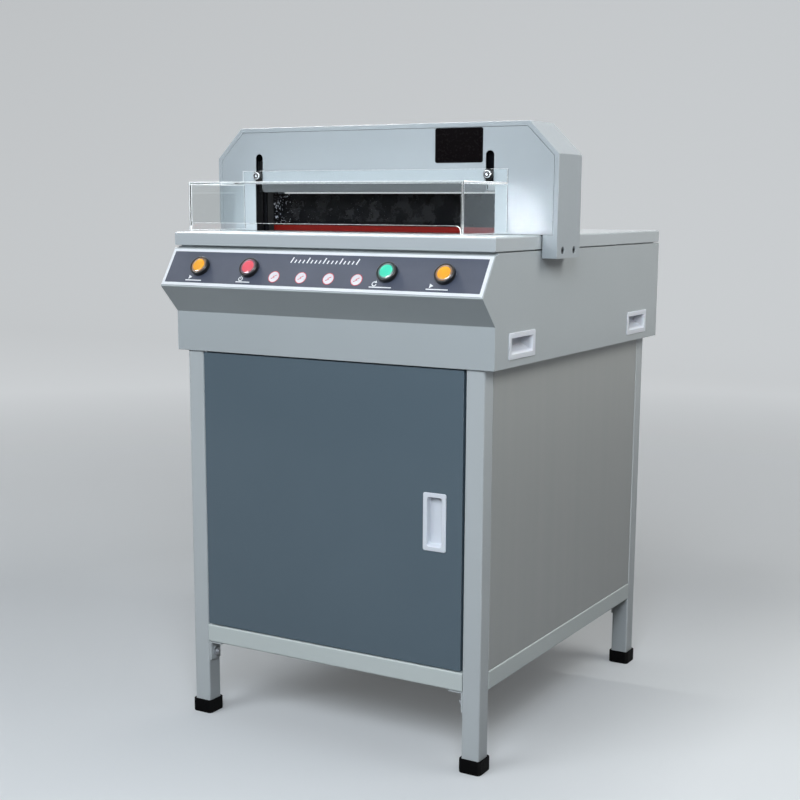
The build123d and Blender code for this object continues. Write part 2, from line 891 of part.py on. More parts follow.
def button_bezels():
    """Threaded barrels through the console, each with a raised round bezel."""
    bezels = []
    base = console_panel_thick + overlay_thick
    for x in button_places:
        ring = Pos(0, 0, bezel_height / 2) * Cylinder(bezel_radius, bezel_height)
        ring = chamfer(ring.edges().group_by(Axis.Z)[-1], bezel_edge)
        barrel = Pos(0, 0, -bezel_barrel_length / 2) * Cylinder(
            bezel_barrel_radius, bezel_barrel_length
        )
        well_radius = button_cap_radius + button_cap_gap
        well_depth = button_cap_thick + button_cap_below + button_travel + seat_gap
        well_top = bezel_height + overrun
        well_low = bezel_height - well_depth
        well = Pos(0, 0, (well_low + well_top) / 2) * Cylinder(well_radius, well_top - well_low)
        bore = Pos(0, 0, -bezel_barrel_length / 2) * Cylinder(
            bezel_bore_radius, bezel_barrel_length + 2 * bezel_height
        )
        barrel_floor = Pos(0, 0, -bezel_barrel_length + bezel_edge / 2) * Cylinder(
            bezel_barrel_radius, bezel_edge
        )
        bezel = ring + barrel - well - bore + barrel_floor
        bezels.append(on_slope(x, button_up_slope, base) * bezel)
    return bezels


def button_cap(x):
    """Coloured push cap with its stem; it sinks into the bezel when pressed."""
    base = console_panel_thick + overlay_thick
    top = bezel_height - button_cap_below
    cap = Pos(0, 0, top - button_cap_thick / 2) * Cylinder(button_cap_radius, button_cap_thick)
    cap = fillet(cap.edges().group_by(Axis.Z)[-1], button_cap_edge)
    stem_top = top - button_cap_thick
    stem = Pos(0, 0, stem_top - button_stem_length / 2) * Cylinder(
        button_stem_radius, button_stem_length
    )
    return on_slope(x, button_up_slope, base) * (cap + stem)


def indicator_discs():
    lift = console_panel_thick + overlay_thick + disc_thick / 2
    first = -disc_spacing * (disc_count - 1) / 2
    places = [first + step * disc_spacing for step in range(disc_count)]
    return [on_slope(x, disc_up_slope, lift) * Cylinder(disc_radius, disc_thick) for x in places]


# Tables, knife bed and cutting stick


def table_tray(front, back):
    """Folded table cover. It stands on an inner foot, so its skirts end just above the
    casing and leave a shadow gap."""
    half = half_body
    low = body_top + table_shadow_gap
    tray = hollow((-half, front, low), (half, back, table_top), table_skin, ("-z",))
    top = tray.faces().sort_by(Axis.Z)[-1]
    tray = fillet(top.outer_wire().edges(), table_edge)
    foot_half = half - table_foot_inset
    foot = block(-foot_half, foot_half, front + table_foot_inset, back - table_foot_inset,
                 body_top, table_top - table_skin)
    inner_half = foot_half - table_skin
    foot_hole = block(-inner_half, inner_half, front + table_foot_inset + table_skin,
                      back - table_foot_inset - table_skin, body_top - overrun,
                      table_top + overrun)
    return tray + (foot - foot_hole)


def front_table():
    return table_tray(stand_front - table_front_reach, gantry_front + bed_front_gap - seat_gap)


def rear_table():
    front = cavity_back + seat_gap
    back = stand_back + table_back_reach
    tray = table_tray(front, back)
    slot_front = front + table_foot_inset + table_skin + overrun / 2
    slot_back = back - gauge_slot_margin
    half = gauge_slot_width / 2
    slot = block(gauge_middle - half, gauge_middle + half, front - overrun, slot_back,
                 table_top - table_skin - overrun, table_top + overrun)
    skirt_notch = block(gauge_middle - half, gauge_middle + half, front - overrun, slot_front,
                        body_top - overrun, table_top + overrun)
    return tray - slot - skirt_notch


def knife_bed():
    """Cast bed under the knife: a wide foot on the side frames and a raised cutting land."""
    land_half = upright_inner - 2 * slip_gap
    y0 = gantry_front + bed_front_gap
    y1 = gantry_back - bed_back_gap
    outline = polygon([
        (-bed_half, bed_low), (bed_half, bed_low),
        (bed_half, body_top), (land_half, body_top),
        (land_half, table_top), (-land_half, table_top),
        (-land_half, body_top), (-bed_half, body_top),
    ])
    bed = plate_xz(outline, y0, y1)
    stick_half = upright_inner - stick_end_gap + slip_gap
    groove_half = stick_width / 2 + slip_gap
    bed -= block(-stick_half, stick_half, carriage_back - groove_half, carriage_back + groove_half,
                 table_top - stick_depth, table_top + overrun)
    rod_low_x = pull_rod_x - knife_shift - pull_rod_half_width - seat_gap * 2
    rod_high_x = pull_rod_x + pull_rod_half_width + seat_gap * 2
    rod_back = pull_rod_front + pull_rod_thick
    bed -= block(rod_low_x, rod_high_x, pull_rod_front - seat_gap, rod_back + seat_gap,
                 bed_low - overrun, table_top + overrun)
    for x in (-clamp_rod_x, clamp_rod_x):
        bed -= round_z(x, clamp_middle_y, bed_low - overrun, table_top + overrun,
                       clamp_rod_radius + slip_gap / 2)
    bed -= side_screw_holes()
    return bed


def cutting_stick():
    half = upright_inner - stick_end_gap
    return block(-half, half, carriage_back - stick_width / 2, carriage_back + stick_width / 2,
                 table_top - stick_depth, table_top)


# Gantry


def gantry_outline(inset, low):
    """Chamfered arch outline, drawn in by inset on its sides and top, down to low."""
    half = half_gantry - inset
    top = gantry_top - inset
    corner = gantry_chamfer - inset * chamfer_inset_share
    return polygon([(-half, low), (half, low), (half, top - corner), (half - corner, top),
                    (-half + corner, top), (-half, top - corner)])


def gantry_shell():
    """Sheet cover that straddles the table: sides, chamfers, top and a narrow rim."""
    shell = plate_xz(gantry_outline(0, gantry_low), gantry_front, gantry_back)
    shell -= plate_xz(gantry_outline(gantry_skin, gantry_low - overrun),
                      cavity_front, cavity_back)
    window = gantry_outline(gantry_rim, table_top + seat_gap)
    shell -= plate_xz(window, gantry_front - overrun, gantry_back + overrun)
    foot_inner = half_body + gantry_foot_gap
    shell -= block(-foot_inner, foot_inner, gantry_front - overrun, gantry_back + overrun,
                   gantry_low - overrun, table_top + seat_gap)
    top_edges = shell.edges().filter_by(Axis.Y).group_by(Axis.Z)[-1]
    shell = fillet(top_edges, gantry_edge)
    return shell - side_screw_holes()


def opening_cut(top):
    """Outline of the cutting opening, drawn from well below the plate."""
    width = opening_right - opening_left
    low = table_top - overrun
    return Pos(opening_middle, (low + top) / 2) * Rectangle(width, top - low)


def gantry_front_plate():
    """Front plate let into the rim: the opening runs up at each end into a guard slot."""
    low = table_top + plate_foot_gap
    outline = gantry_outline(gantry_rim + gantry_seam, low)
    hole = opening_cut(opening_top)
    straight_top = slot_top - slot_width / 2
    for x in slot_centres:
        middle = (opening_top - overrun + straight_top) / 2
        hole += Pos(x, middle) * Rectangle(slot_width, straight_top - opening_top + overrun)
        hole += Pos(x, straight_top) * Circle(slot_width / 2)
    inner = [v for v in hole.vertices()
             if abs(v.Y - opening_top) < slip_gap
             and opening_left + slip_gap < v.X < opening_right - slip_gap]
    hole = fillet(inner, opening_corner)
    return plate_xz(outline - hole, gantry_front, cavity_front)


def gantry_rear_plate():
    low = table_top + plate_foot_gap
    outline = gantry_outline(gantry_rim + gantry_seam, low)
    return plate_xz(outline - opening_cut(table_top + rear_opening_height), cavity_back,
                    gantry_back)


def upright(side):
    """Cast upright on the end of the knife bed; the clamp and knife run between the two."""
    x0, x1 = sorted((side * upright_inner, side * bed_half))
    cast = block(x0, x1, bridge_back, cavity_back, body_top, upright_top)
    return cast - side_screw_holes()


def foot_blocks():
    blocks = []
    low = body_top - foot_block_drop
    for side in (-1, 1):
        x0, x1 = sorted((side * half_body, side * (half_gantry - gantry_skin)))
        foot = block(x0, x1, bridge_back, cavity_back, low, low + foot_block_height)
        blocks.append(foot - side_screw_holes())
    return blocks


def side_screw_holes():
    """Clearance holes for the side screws, wide where their heads sit."""
    reach = half_gantry + overrun
    start = bed_half - side_screw_depth
    seat = half_gantry - side_screw_sink - side_screw_head_height
    holes = []
    for setback in side_screw_setbacks:
        y = gantry_front + setback
        for side in (-1, 1):
            low, high = sorted((side * start, side * reach))
            holes.append(round_x(low, high, y, body_top, side_screw_radius + slip_gap))
            low, high = sorted((side * seat, side * reach))
            holes.append(round_x(low, high, y, body_top, side_screw_head + slip_gap))
    return holes


def side_screws():
    """Socket screws through the gantry's feet and the casing into the knife bed."""
    screws = []
    tip = bed_half - side_screw_depth
    seat = half_gantry - side_screw_sink - side_screw_head_height
    head_out = half_gantry - side_screw_sink
    for setback in side_screw_setbacks:
        y = gantry_front + setback
        for side in (-1, 1):
            low, high = sorted((side * seat, side * head_out))
            head = round_x(low, high, y, body_top, side_screw_head)
            place = (side * (head_out - side_screw_socket_depth), y, body_top)
            socket = hex_socket(side_screw_socket, side_screw_socket_depth + overrun)
            head -= Plane(place, z_dir=(side, 0, 0)) * socket
            low, high = sorted((side * tip, side * seat))
            screws.append(head + round_x(low, high, y, body_top, side_screw_radius))
    return screws


def knife_bridge():
    """Front bridge on the uprights: it carries the knife's guide pins and frames the guard's
    slide blocks."""
    low = table_top + bridge_rise
    bridge = block(-bed_half, bed_half, cavity_front, bridge_back, low, upright_top)
    for x in slot_centres:
        half = guard_block_width / 2 + slip_gap * 2
        high = slot_top + overrun
        bridge -= block(x - half, x + half, cavity_front - overrun, bridge_back + overrun,
                        low - overrun, high)
    for x in (-guide_pin_x, guide_pin_x):
        bridge -= round_y(x, cavity_front - overrun, bridge_back + overrun, guide_pin_z,
                          guide_pin_radius)
    return bridge


def guide_pins():
    back = bridge_back + guide_pin_reach
    return [round_y(x, cavity_front, back, guide_pin_z, guide_pin_radius)
            for x in (-guide_pin_x, guide_pin_x)]


def tie_bar():
    """Bar between the tops of the uprights, behind the knife and the clamp."""
    high = upright_top - tie_below_upright
    return block(-upright_inner, upright_inner, cavity_back - tie_depth, cavity_back,
                 high - tie_height, high)


# Clear guard


def guard_shield():
    """Clear box guard: front, two sides, top and a flange against the gantry's face. The
    front stops above the table so that paper slides under it."""
    low = table_top + guard_bottom_gap
    front = stand_front - guard_front_reach
    shield = hollow((guard_left, front, low), (guard_right, gantry_front, guard_top),
                    guard_thick, ("-z", "+y"))
    width = guard_right - guard_left
    gap_top = table_top + guard_front_gap
    gap = RectangleRounded(width - 2 * guard_thick, 2 * (gap_top - low), guard_front_corner)
    middle = (guard_left + guard_right) / 2
    shield -= plate_xz(Pos(middle, low) * gap, front - overrun, front + guard_thick + overrun)
    flange = block(guard_left, guard_right, gantry_front - guard_thick, gantry_front,
                   guard_top - guard_thick, guard_top + guard_flange_height)
    shield += flange
    for x in slot_centres:
        shield -= round_y(x, gantry_front - guard_thick - overrun, gantry_front + overrun,
                          guard_bolt_z, guard_bolt_radius + slip_gap)
    return Pos(0, -slip_gap, 0) * shield


def guard_bolts():
    """Socket screws that hang the guard from its slide blocks."""
    bolts = []
    head_back = gantry_front - slip_gap - guard_thick - guard_washer_thick
    for x in slot_centres:
        head = round_y(x, head_back - guard_head_height, head_back, guard_bolt_z,
                       guard_head_radius)
        head = fillet(head.edges().group_by(Axis.Y)[0], guard_head_edge)
        socket = Pos(x, head_back - guard_head_height, guard_bolt_z) * Rot(-90, 0, 0) * hex_socket(
            guard_head_socket, guard_head_socket_depth
        )
        shank = round_y(x, head_back, bridge_back - seat_gap, guard_bolt_z, guard_bolt_radius)
        bolts.append(head - socket + shank)
    return bolts


def guard_washers():
    washers = []
    back = gantry_front - slip_gap - guard_thick
    for x in slot_centres:
        washer = round_y(x, back - guard_washer_thick, back, guard_bolt_z, guard_washer_radius)
        hole = round_y(x, back - overrun, back + overrun, guard_bolt_z,
                       guard_bolt_radius + slip_gap)
        washers.append(washer - hole)
    return washers


def guard_slide_blocks():
    """Blocks behind the front plate that run in the bridge's slots."""
    blocks = []
    y0 = cavity_front + seat_gap
    y1 = bridge_back - seat_gap
    for x in slot_centres:
        half = guard_block_width / 2
        low = guard_bolt_z - guard_block_height / 2
        one = block(x - half, x + half, y0, y1, low, low + guard_block_height)
        blocks.append(one - round_y(x, y0 - overrun, y1 + overrun, guard_bolt_z,
                                    guard_bolt_radius + slip_gap))
    return blocks


# Knife


def knife_carriage():
    """Steel knife beam with a rebate for the blade and two inclined guide slots."""
    beam = block(carriage_left, carriage_right, carriage_front, carriage_back, carriage_low,
                 carriage_low + carriage_height)
    beam -= block(carriage_left - overrun, carriage_right + overrun, blade_front - slip_gap,
                  carriage_back + overrun, carriage_low - overrun, blade_high + seat_gap)
    radius = guide_pin_radius + slip_gap
    travel = hypot(knife_drop, knife_shift)
    lean = degrees(atan2(knife_shift, knife_drop))
    for x in (-guide_pin_x, guide_pin_x):
        slot = SlotCenterToCenter(travel, 2 * radius)
        middle_x = x + knife_shift / 2
        middle_z = guide_pin_z + knife_drop / 2
        placed = Pos(middle_x, middle_z) * Rot(0, 0, 90 - lean) * slot
        beam -= plate_xz(placed, carriage_front - overrun, carriage_back + overrun)
    beam -= round_y(pull_rod_x, carriage_front - overrun, carriage_back + overrun,
                    guide_pin_z, pull_rod_pin_radius + slip_gap / 2)
    pocket_half = pull_rod_eye + seat_gap
    beam -= block(pull_rod_x - pocket_half, carriage_right + overrun, pull_rod_front,
                  pull_rod_front + pull_rod_thick, carriage_low - overrun,
                  guide_pin_z + pocket_half)
    sink = carriage_front + seat_gap + knife_bolt_head_height
    for x in knife_bolt_places():
        beam -= round_y(x, carriage_front - overrun, sink, knife_bolt_z,
                        knife_bolt_head + slip_gap)
    return beam - knife_bolt_holes()


def knife_bolt_places():
    first = carriage_left + knife_bolt_end_inset
    last = carriage_right - knife_bolt_end_inset
    step = (last - first) / (knife_bolt_count - 1)
    return [first + step * count for count in range(knife_bolt_count)]


def knife_bolt_holes():
    return [round_y(x, carriage_front - overrun, carriage_back + overrun, knife_bolt_z,
                    knife_bolt_radius + slip_gap) for x in knife_bolt_places()]


def knife_blade():
    """Ground steel blade, bevelled towards the operator, flat towards the clamp."""
    outline = polygon([
        (blade_front, blade_high), (carriage_back, blade_high), (carriage_back, blade_low),
        (carriage_back - blade_edge_flat, blade_low), (blade_front, blade_low + blade_bevel_height),
    ])
    blade = plate_yz(outline, carriage_left, carriage_right)
    return blade - knife_bolt_holes()


def knife_bolts():
    """Socket screws sunk in the beam's front, ending flush with the blade's flat back."""
    front = carriage_front + seat_gap
    bolts = []
    for x in knife_bolt_places():
        bolt = round_y(x, front, carriage_back, knife_bolt_z, knife_bolt_radius)
        bolt += round_y(x, front, front + knife_bolt_head_height, knife_bolt_z, knife_bolt_head)
        socket = hex_socket(knife_bolt_socket, knife_bolt_socket_depth)
        bolts.append(bolt - Pos(x, front, knife_bolt_z) * Rot(-90, 0, 0) * socket)
    return bolts


def knife_pull_rod():
    """Pull rod from the beam's right end down through the bed, with a roller at its foot."""
    y0 = pull_rod_front
    y1 = y0 + pull_rod_thick
    rod = block(pull_rod_x - pull_rod_half_width, pull_rod_x + pull_rod_half_width, y0, y1,
                roller_z, guide_pin_z)
    for z in (roller_z, guide_pin_z):
        rod += round_y(pull_rod_x, y0, y1, z, pull_rod_eye)
    rod -= round_y(pull_rod_x, y0 - overrun, y1 + overrun, guide_pin_z,
                   pull_rod_pin_radius + slip_gap / 2)
    return rod + round_y(pull_rod_x, y0 - roller_length, y0, roller_z, roller_radius)


def pull_rod_pin():
    return round_y(pull_rod_x, carriage_front, blade_front - slip_gap, guide_pin_z,
                   pull_rod_pin_radius)


def drive_nut():
    """Nut that the screw drives up and down. The rod's roller runs along its slot, which
    lets the knife travel sideways while it is pulled down."""
    back = pull_rod_front - seat_gap
    nut = block(pull_rod_x - nut_left_reach, side_frame_inner - seat_gap, back - nut_depth, back,
                nut_low, nut_high)
    slot_length = knife_shift + 2 * (roller_radius + seat_gap)
    slot_x = pull_rod_x - knife_shift / 2
    slot = SlotOverall(slot_length, 2 * (roller_radius + slip_gap / 2))
    nut -= plate_xz(Pos(slot_x, roller_z) * slot, back - roller_length, back + overrun)
    return nut - round_z(drive_screw_x, drive_screw_y, nut_low - overrun, nut_high + overrun,
                         drive_screw_radius + slip_gap / 2)


def drive_screw():
    return round_z(drive_screw_x, drive_screw_y, gearbox_top - drive_screw_sink + seat_gap,
                   nut_high + slip_gap, drive_screw_radius)


def worm_gearbox():
    half = gearbox_depth / 2
    box = block(gearbox_left, gearbox_right, drive_screw_y - half, drive_screw_y + half, pan_top,
                gearbox_top)
    box = fillet(box.edges().filter_by(Axis.Z), gearbox_edge)
    return box - round_z(drive_screw_x, drive_screw_y, gearbox_top - drive_screw_sink,
                         gearbox_top + overrun, drive_screw_radius + slip_gap / 2)


def knife_motor():
    """Main motor lying beside the gearbox on its saddle, with a fan cover."""
    cover_left = clamp_motor_side / 2 + motor_gap
    motor_left = cover_left + motor_fan_cover
    z = pan_top + motor_radius
    motor = round_x(motor_left, gearbox_left, drive_screw_y, z, motor_radius)
    cover = round_x(cover_left, motor_left, drive_screw_y, z, motor_radius * fan_cover_share)
    cover = fillet(cover.edges().group_by(Axis.X)[0], motor_fan_edge)
    foot_inset = (gearbox_left - motor_left) * foot_inset_share
    foot_half = motor_radius * saddle_share
    saddle = block(motor_left + foot_inset, gearbox_left - foot_inset,
                   drive_screw_y - foot_half, drive_screw_y + foot_half, pan_top, z)
    return motor + cover + saddle


# Clamp


def clamp_bar():
    half = upright_inner - clamp_side_gap
    bar = block(-half, half, clamp_front, clamp_front + clamp_thick, clamp_low,
                clamp_low + clamp_height)
    return fillet(bar.edges().filter_by(Axis.X), clamp_side_gap)


def clamp_rods():
    return [round_z(x, clamp_middle_y, crosshead_high, clamp_low, clamp_rod_radius)
            for x in (-clamp_rod_x, clamp_rod_x)]


def clamp_crosshead():
    """Bar that pulls both clamp rods down, threaded on the clamp screw."""
    half = clamp_rod_x + clamp_rod_radius
    bar = block(-half, half, clamp_front, clamp_front + clamp_thick, crosshead_low,
                crosshead_high)
    boss = round_z(0, clamp_middle_y, crosshead_low, crosshead_high, clamp_screw_radius * 2)
    bore = round_z(0, clamp_middle_y, crosshead_low - overrun, crosshead_high + overrun,
                   clamp_screw_radius + slip_gap / 2)
    return bar + boss - bore


def clamp_motor():
    half = clamp_motor_side / 2
    motor = block(-half, half, clamp_middle_y - half, clamp_middle_y + half, pan_top,
                  clamp_motor_top)
    motor = chamfer(motor.edges().filter_by(Axis.Z), clamp_motor_corner)
    bore = round_z(0, clamp_middle_y, clamp_motor_top - clamp_screw_sink,
                   clamp_motor_top + overrun, clamp_screw_radius + slip_gap / 2)
    return motor - bore


def clamp_screw():
    return round_z(0, clamp_middle_y, clamp_motor_top - clamp_screw_sink + seat_gap,
                   bed_low - clamp_screw_gap, clamp_screw_radius)


# Back gauge


def back_gauge():
    """Gauge plate with stiffening ribs and the arm that reaches to its nut."""
    sole_back = gauge_front + gauge_sole_depth
    sole_top = gauge_low + gauge_sole_height
    outline = polygon([
        (gauge_front, gauge_top), (gauge_back, gauge_top), (gauge_back, gauge_low),
        (sole_back, gauge_low), (sole_back, sole_top),
        (gauge_front + gauge_chamfer / 2, sole_top), (gauge_front, sole_top + gauge_chamfer),
    ])
    plate = plate_yz(outline, gauge_left, gauge_right)
    span = gauge_right - gauge_left - gauge_rib_thick
    for step in range(gauge_rib_count):
        x = gauge_left + span * step / (gauge_rib_count - 1)
        plate += block(x, x + gauge_rib_thick, gauge_back, gauge_back + gauge_rib_depth,
                       gauge_low, (gauge_low + gauge_top) / 2)
    return plate


def gauge_sole():
    """Red wear strip under the front of the gauge."""
    return block(gauge_left, gauge_right, gauge_front - gauge_sole_proud,
                 gauge_front + gauge_sole_depth, gauge_low, gauge_low + gauge_sole_height)


def screw_bore(y0, y1):
    return round_y(gauge_middle, y0, y1, gauge_screw_z, gauge_screw_radius + slip_gap / 2)


def gauge_nut_arm():
    """Arm from the gauge through the table's slot to the nut on the lead screw."""
    half = gauge_arm_width / 2
    nut_back = nut_arm_front + gauge_nut_depth
    arm = block(gauge_middle - half, gauge_middle + half, gauge_back, nut_back, gauge_low,
                gauge_low + gauge_arm_thick)
    arm += block(gauge_middle - half, gauge_middle + half, nut_arm_front, nut_back,
                 gauge_screw_z - gauge_nut_reach, gauge_low)
    return arm - screw_bore(nut_arm_front - overrun, nut_back + overrun)


def gauge_screw():
    """Lead screw under the table, from the front bearing into the motor at the back."""
    front = bearing_front + gauge_bearing_depth - gauge_screw_sink
    back = crossbar_back + gauge_motor_shaft_sink - seat_gap
    return round_y(gauge_middle, front, back, gauge_screw_z, gauge_screw_radius)


def gauge_bearing():
    """Front bearing block of the lead screw, hung from the knife bed."""
    half = gauge_bearing_width / 2
    back = bearing_front + gauge_bearing_depth
    bearing = block(gauge_middle - half, gauge_middle + half, bearing_front, back,
                    gauge_screw_z - half, bed_low)
    return bearing - screw_bore(back - gauge_screw_sink - slip_gap, back + overrun)


def rear_crossbar():
    """Bar between the side frames that carries the screw's rear bearing and its motor."""
    bar = block(-side_frame_inner, side_frame_inner, crossbar_front, crossbar_back,
                gauge_screw_z - crossbar_reach, bed_low)
    return bar - screw_bore(crossbar_front - overrun, crossbar_back + overrun)


def gauge_motor():
    half = gauge_motor_side / 2
    motor = block(gauge_middle - half, gauge_middle + half, crossbar_back,
                  crossbar_back + gauge_motor_length, gauge_screw_z - half, gauge_screw_z + half)
    motor = chamfer(motor.edges().filter_by(Axis.Y), gauge_motor_corner)
    return motor - screw_bore(crossbar_back - overrun, crossbar_back + gauge_motor_shaft_sink)


def all_nodes():
    return {
        "stand_legs": stand_legs(),
        "rubber_foot_caps": foot_caps(),
        "bottom_rails": bottom_cross_rails() + bottom_side_rails(),
        "top_rails": top_cross_rails() + top_side_rails(),
        "corner_brackets": corner_brackets(),
        "bracket_bolts": bracket_bolts(),
        "side_panels": [side_panel(-1), side_panel(1)],
        "cabinet_back_panel": back_panel(),
        "cabinet_floor": floor_panel(),
        "cabinet_door": cabinet_door(),
        "door_pull": door_pull(),
        "door_pivot_pins": door_pivot_pins(),
        "door_catch": door_catch(),
        "body_casing": body_shell(),
        "base_pan": base_pan(),
        "side_frames": [side_frame(-1), side_frame(1)],
        "hand_cups": cup_handles(-1) + cup_handles(1),
        "power_inlet": power_inlet(),
        "control_box": control_box(),
        "console_panel": console_panel(),
        "console_overlay": console_overlay(),
        "button_bezels": button_bezels(),
        "cut_button_left": button_cap(button_places[0]),
        "red_button": button_cap(button_places[1]),
        "green_button": button_cap(button_places[2]),
        "cut_button_right": button_cap(button_places[3]),
        "indicator_discs": indicator_discs(),
        "front_table": front_table(),
        "rear_table": rear_table(),
        "knife_bed": knife_bed(),
        "cutting_stick": cutting_stick(),
        "gantry_shell": gantry_shell(),
        "gantry_front_plate": gantry_front_plate(),
        "gantry_rear_plate": gantry_rear_plate(),
        "gantry_frame": [upright(-1), upright(1), tie_bar()] + foot_blocks(),
        "gantry_side_screws": side_screws(),
        "knife_bridge": [knife_bridge()] + guide_pins(),
        "guard_shield": guard_shield(),
        "guard_bolts": guard_bolts(),
        "guard_washers": guard_washers(),
        "guard_slide_blocks": guard_slide_blocks(),
        "knife_carriage": knife_carriage(),
        "knife_blade": knife_blade(),
        "knife_bolts": knife_bolts(),
        "knife_pull_rod": [knife_pull_rod(), pull_rod_pin()],
        "drive_nut": drive_nut(),
        "drive_screw": drive_screw(),
        "worm_gearbox": worm_gearbox(),
        "knife_motor": knife_motor(),
        "clamp_bar": clamp_bar(),
        "clamp_yoke": clamp_rods() + [clamp_crosshead()],
        "clamp_motor": clamp_motor(),
        "clamp_screw": clamp_screw(),
        "back_gauge": back_gauge(),
        "gauge_sole": gauge_sole(),
        "gauge_nut_arm": gauge_nut_arm(),
        "gauge_screw": gauge_screw(),
        "gauge_screw_mounts": [gauge_bearing(), rear_crossbar()],
        "gauge_motor": gauge_motor(),
    }


def solids_of(shape):
    if isinstance(shape, list):
        found = []
        for one in shape:
            found.extend(solids_of(one))
        return found
    return list(shape.solids())


os.makedirs("parts", exist_ok=True)
for name, shape in all_nodes().items():
    export_step(Compound(children=solids_of(shape)), "parts/" + name + ".step")
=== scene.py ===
import bmesh
import bpy
import math
from mathutils import Matrix, Vector


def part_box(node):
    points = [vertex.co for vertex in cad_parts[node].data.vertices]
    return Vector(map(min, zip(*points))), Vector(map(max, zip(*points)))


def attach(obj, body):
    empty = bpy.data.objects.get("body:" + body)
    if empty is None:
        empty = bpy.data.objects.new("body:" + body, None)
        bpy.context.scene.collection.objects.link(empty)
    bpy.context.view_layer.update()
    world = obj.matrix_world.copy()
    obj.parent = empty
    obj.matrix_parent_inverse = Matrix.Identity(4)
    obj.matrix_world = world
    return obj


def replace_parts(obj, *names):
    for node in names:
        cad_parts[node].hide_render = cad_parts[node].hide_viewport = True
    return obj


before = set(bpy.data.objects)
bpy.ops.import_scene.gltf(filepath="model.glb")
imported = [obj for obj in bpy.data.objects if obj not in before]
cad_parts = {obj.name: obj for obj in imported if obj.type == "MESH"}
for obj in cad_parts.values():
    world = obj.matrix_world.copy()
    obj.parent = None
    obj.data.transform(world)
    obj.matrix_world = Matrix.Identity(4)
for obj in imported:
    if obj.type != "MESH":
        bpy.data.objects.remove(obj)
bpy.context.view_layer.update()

# Stand: four square steel tube legs with welded rails, powder coated light blue grey.
# The coat is baked on and levels to a faint orange peel, so broad lights stay soft on it
# and its edges catch a thin bright line.
mm = 0.001


def linear(hex_colour):
    """The linear colour of an sRGB hex value."""
    channels = [int(hex_colour[start:start + 2], 16) / 255 for start in (1, 3, 5)]
    return [c / 12.92 if c <= 0.04045 else ((c + 0.055) / 1.055) ** 2.4 for c in channels] + [1]


def add(tree, kind, inputs=None, **settings):
    """Adds a node; inputs are numbers, colours or other nodes' outputs by socket."""
    node = tree.nodes.new(kind)
    for name, value in settings.items():
        setattr(node, name, value)
    for socket, value in (inputs or {}).items():
        if isinstance(value, bpy.types.NodeSocket):
            tree.links.new(value, node.inputs[socket])
        else:
            node.inputs[socket].default_value = value
    return node


def new_finish(name, **shader):
    """Starts a material; returns it with its node tree, shader and object coordinates."""
    material = bpy.data.materials.new(name)
    material.use_nodes = True
    tree = material.node_tree
    surface = tree.nodes["Principled BSDF"]
    for socket, value in shader.items():
        surface.inputs[socket.replace("_", " ")].default_value = value
    place = add(tree, "ShaderNodeTexCoord").outputs["Object"]
    return material, tree, surface, place


def marks(size):
    """The texture scale that draws marks about this many mm across."""
    return 1 / (size * mm)


def tint(tree, surface, pattern, deep, pale):
    """Colours a finish with two close tones, blended by a pattern."""
    tone = add(tree, "ShaderNodeMix", {0: pattern, 6: linear(deep), 7: linear(pale)},
               data_type="RGBA")
    tree.links.new(tone.outputs[2], surface.inputs["Base Color"])


def skin(tree, surface, pattern, rough, strength, depth, reach=(0.3, 0.7)):
    """Gives a finish its range of roughness and a relief so many mm deep, by one pattern."""
    roughness = add(tree, "ShaderNodeMapRange", {"Value": pattern, "From Min": reach[0],
                                                 "From Max": reach[1], "To Min": rough[0],
                                                 "To Max": rough[1]})
    relief = add(tree, "ShaderNodeBump", {"Height": pattern, "Strength": strength,
                                          "Distance": depth * mm})
    tree.links.new(roughness.outputs["Result"], surface.inputs["Roughness"])
    tree.links.new(relief.outputs["Normal"], surface.inputs["Normal"])


def powder_coat(name, pale, deep, rough, peel=5.26, depth=0.12, gloss=0.2):
    # Orange peel of a real coat is 1 to 2 mm; drawn at about 5 mm so it shows here.
    material, tree, surface, place = new_finish(name, IOR=1.5, Coat_Weight=gloss,
                                                Coat_Roughness=0.16)
    cloud = add(tree, "ShaderNodeTexNoise", {"Vector": place, "Scale": marks(200), "Detail": 3.0})
    dimples = add(tree, "ShaderNodeTexNoise", {"Vector": place, "Scale": marks(peel),
                                               "Detail": 2.0})
    tint(tree, surface, cloud.outputs["Fac"], deep, pale)
    skin(tree, surface, dimples.outputs["Fac"], rough, 0.35, depth)
    return material


def dress(material, *names):
    """Gives CAD nodes a finish."""
    for name in names:
        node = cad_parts[name]
        if not node.material_slots:
            node.data.materials.append(material)
        for slot in node.material_slots:
            slot.material = material


stand_coat = powder_coat("powder-coated steel tube", "#C4CACC", "#BDC3C5", (0.34, 0.44))
# The rails share the legs' coat but are painted lighter, as painted light on them.
rail_coat_lit = powder_coat("powder-coated steel rail", "#D2DAD8", "#CBD3D1", (0.34, 0.44))
dress(stand_coat, "stand_legs")
dress(rail_coat_lit, "bottom_rails", "top_rails")


# Corner brackets and their bolts: pressed strip welded under the front rail, zinc plated
# bolts with hexagon heads. Plated zinc is a bright, slightly cloudy metal.
def plated_metal(name, colour, rough, patch=16.67):
    # The metal clouds in soft patches, which blur what it mirrors a little unevenly.
    material, tree, surface, place = new_finish(name, Base_Color=linear(colour), Metallic=1.0)
    cloud = add(tree, "ShaderNodeTexNoise", {"Vector": place, "Scale": marks(patch),
                                             "Detail": 4.0})
    skin(tree, surface, cloud.outputs["Fac"], rough, 0.3, 0.05)
    return material


zinc_plate = plated_metal("zinc-plated steel", "#B9BCC0", (0.28, 0.45))
dress(zinc_plate, "bracket_bolts")
dress(stand_coat, "corner_brackets")


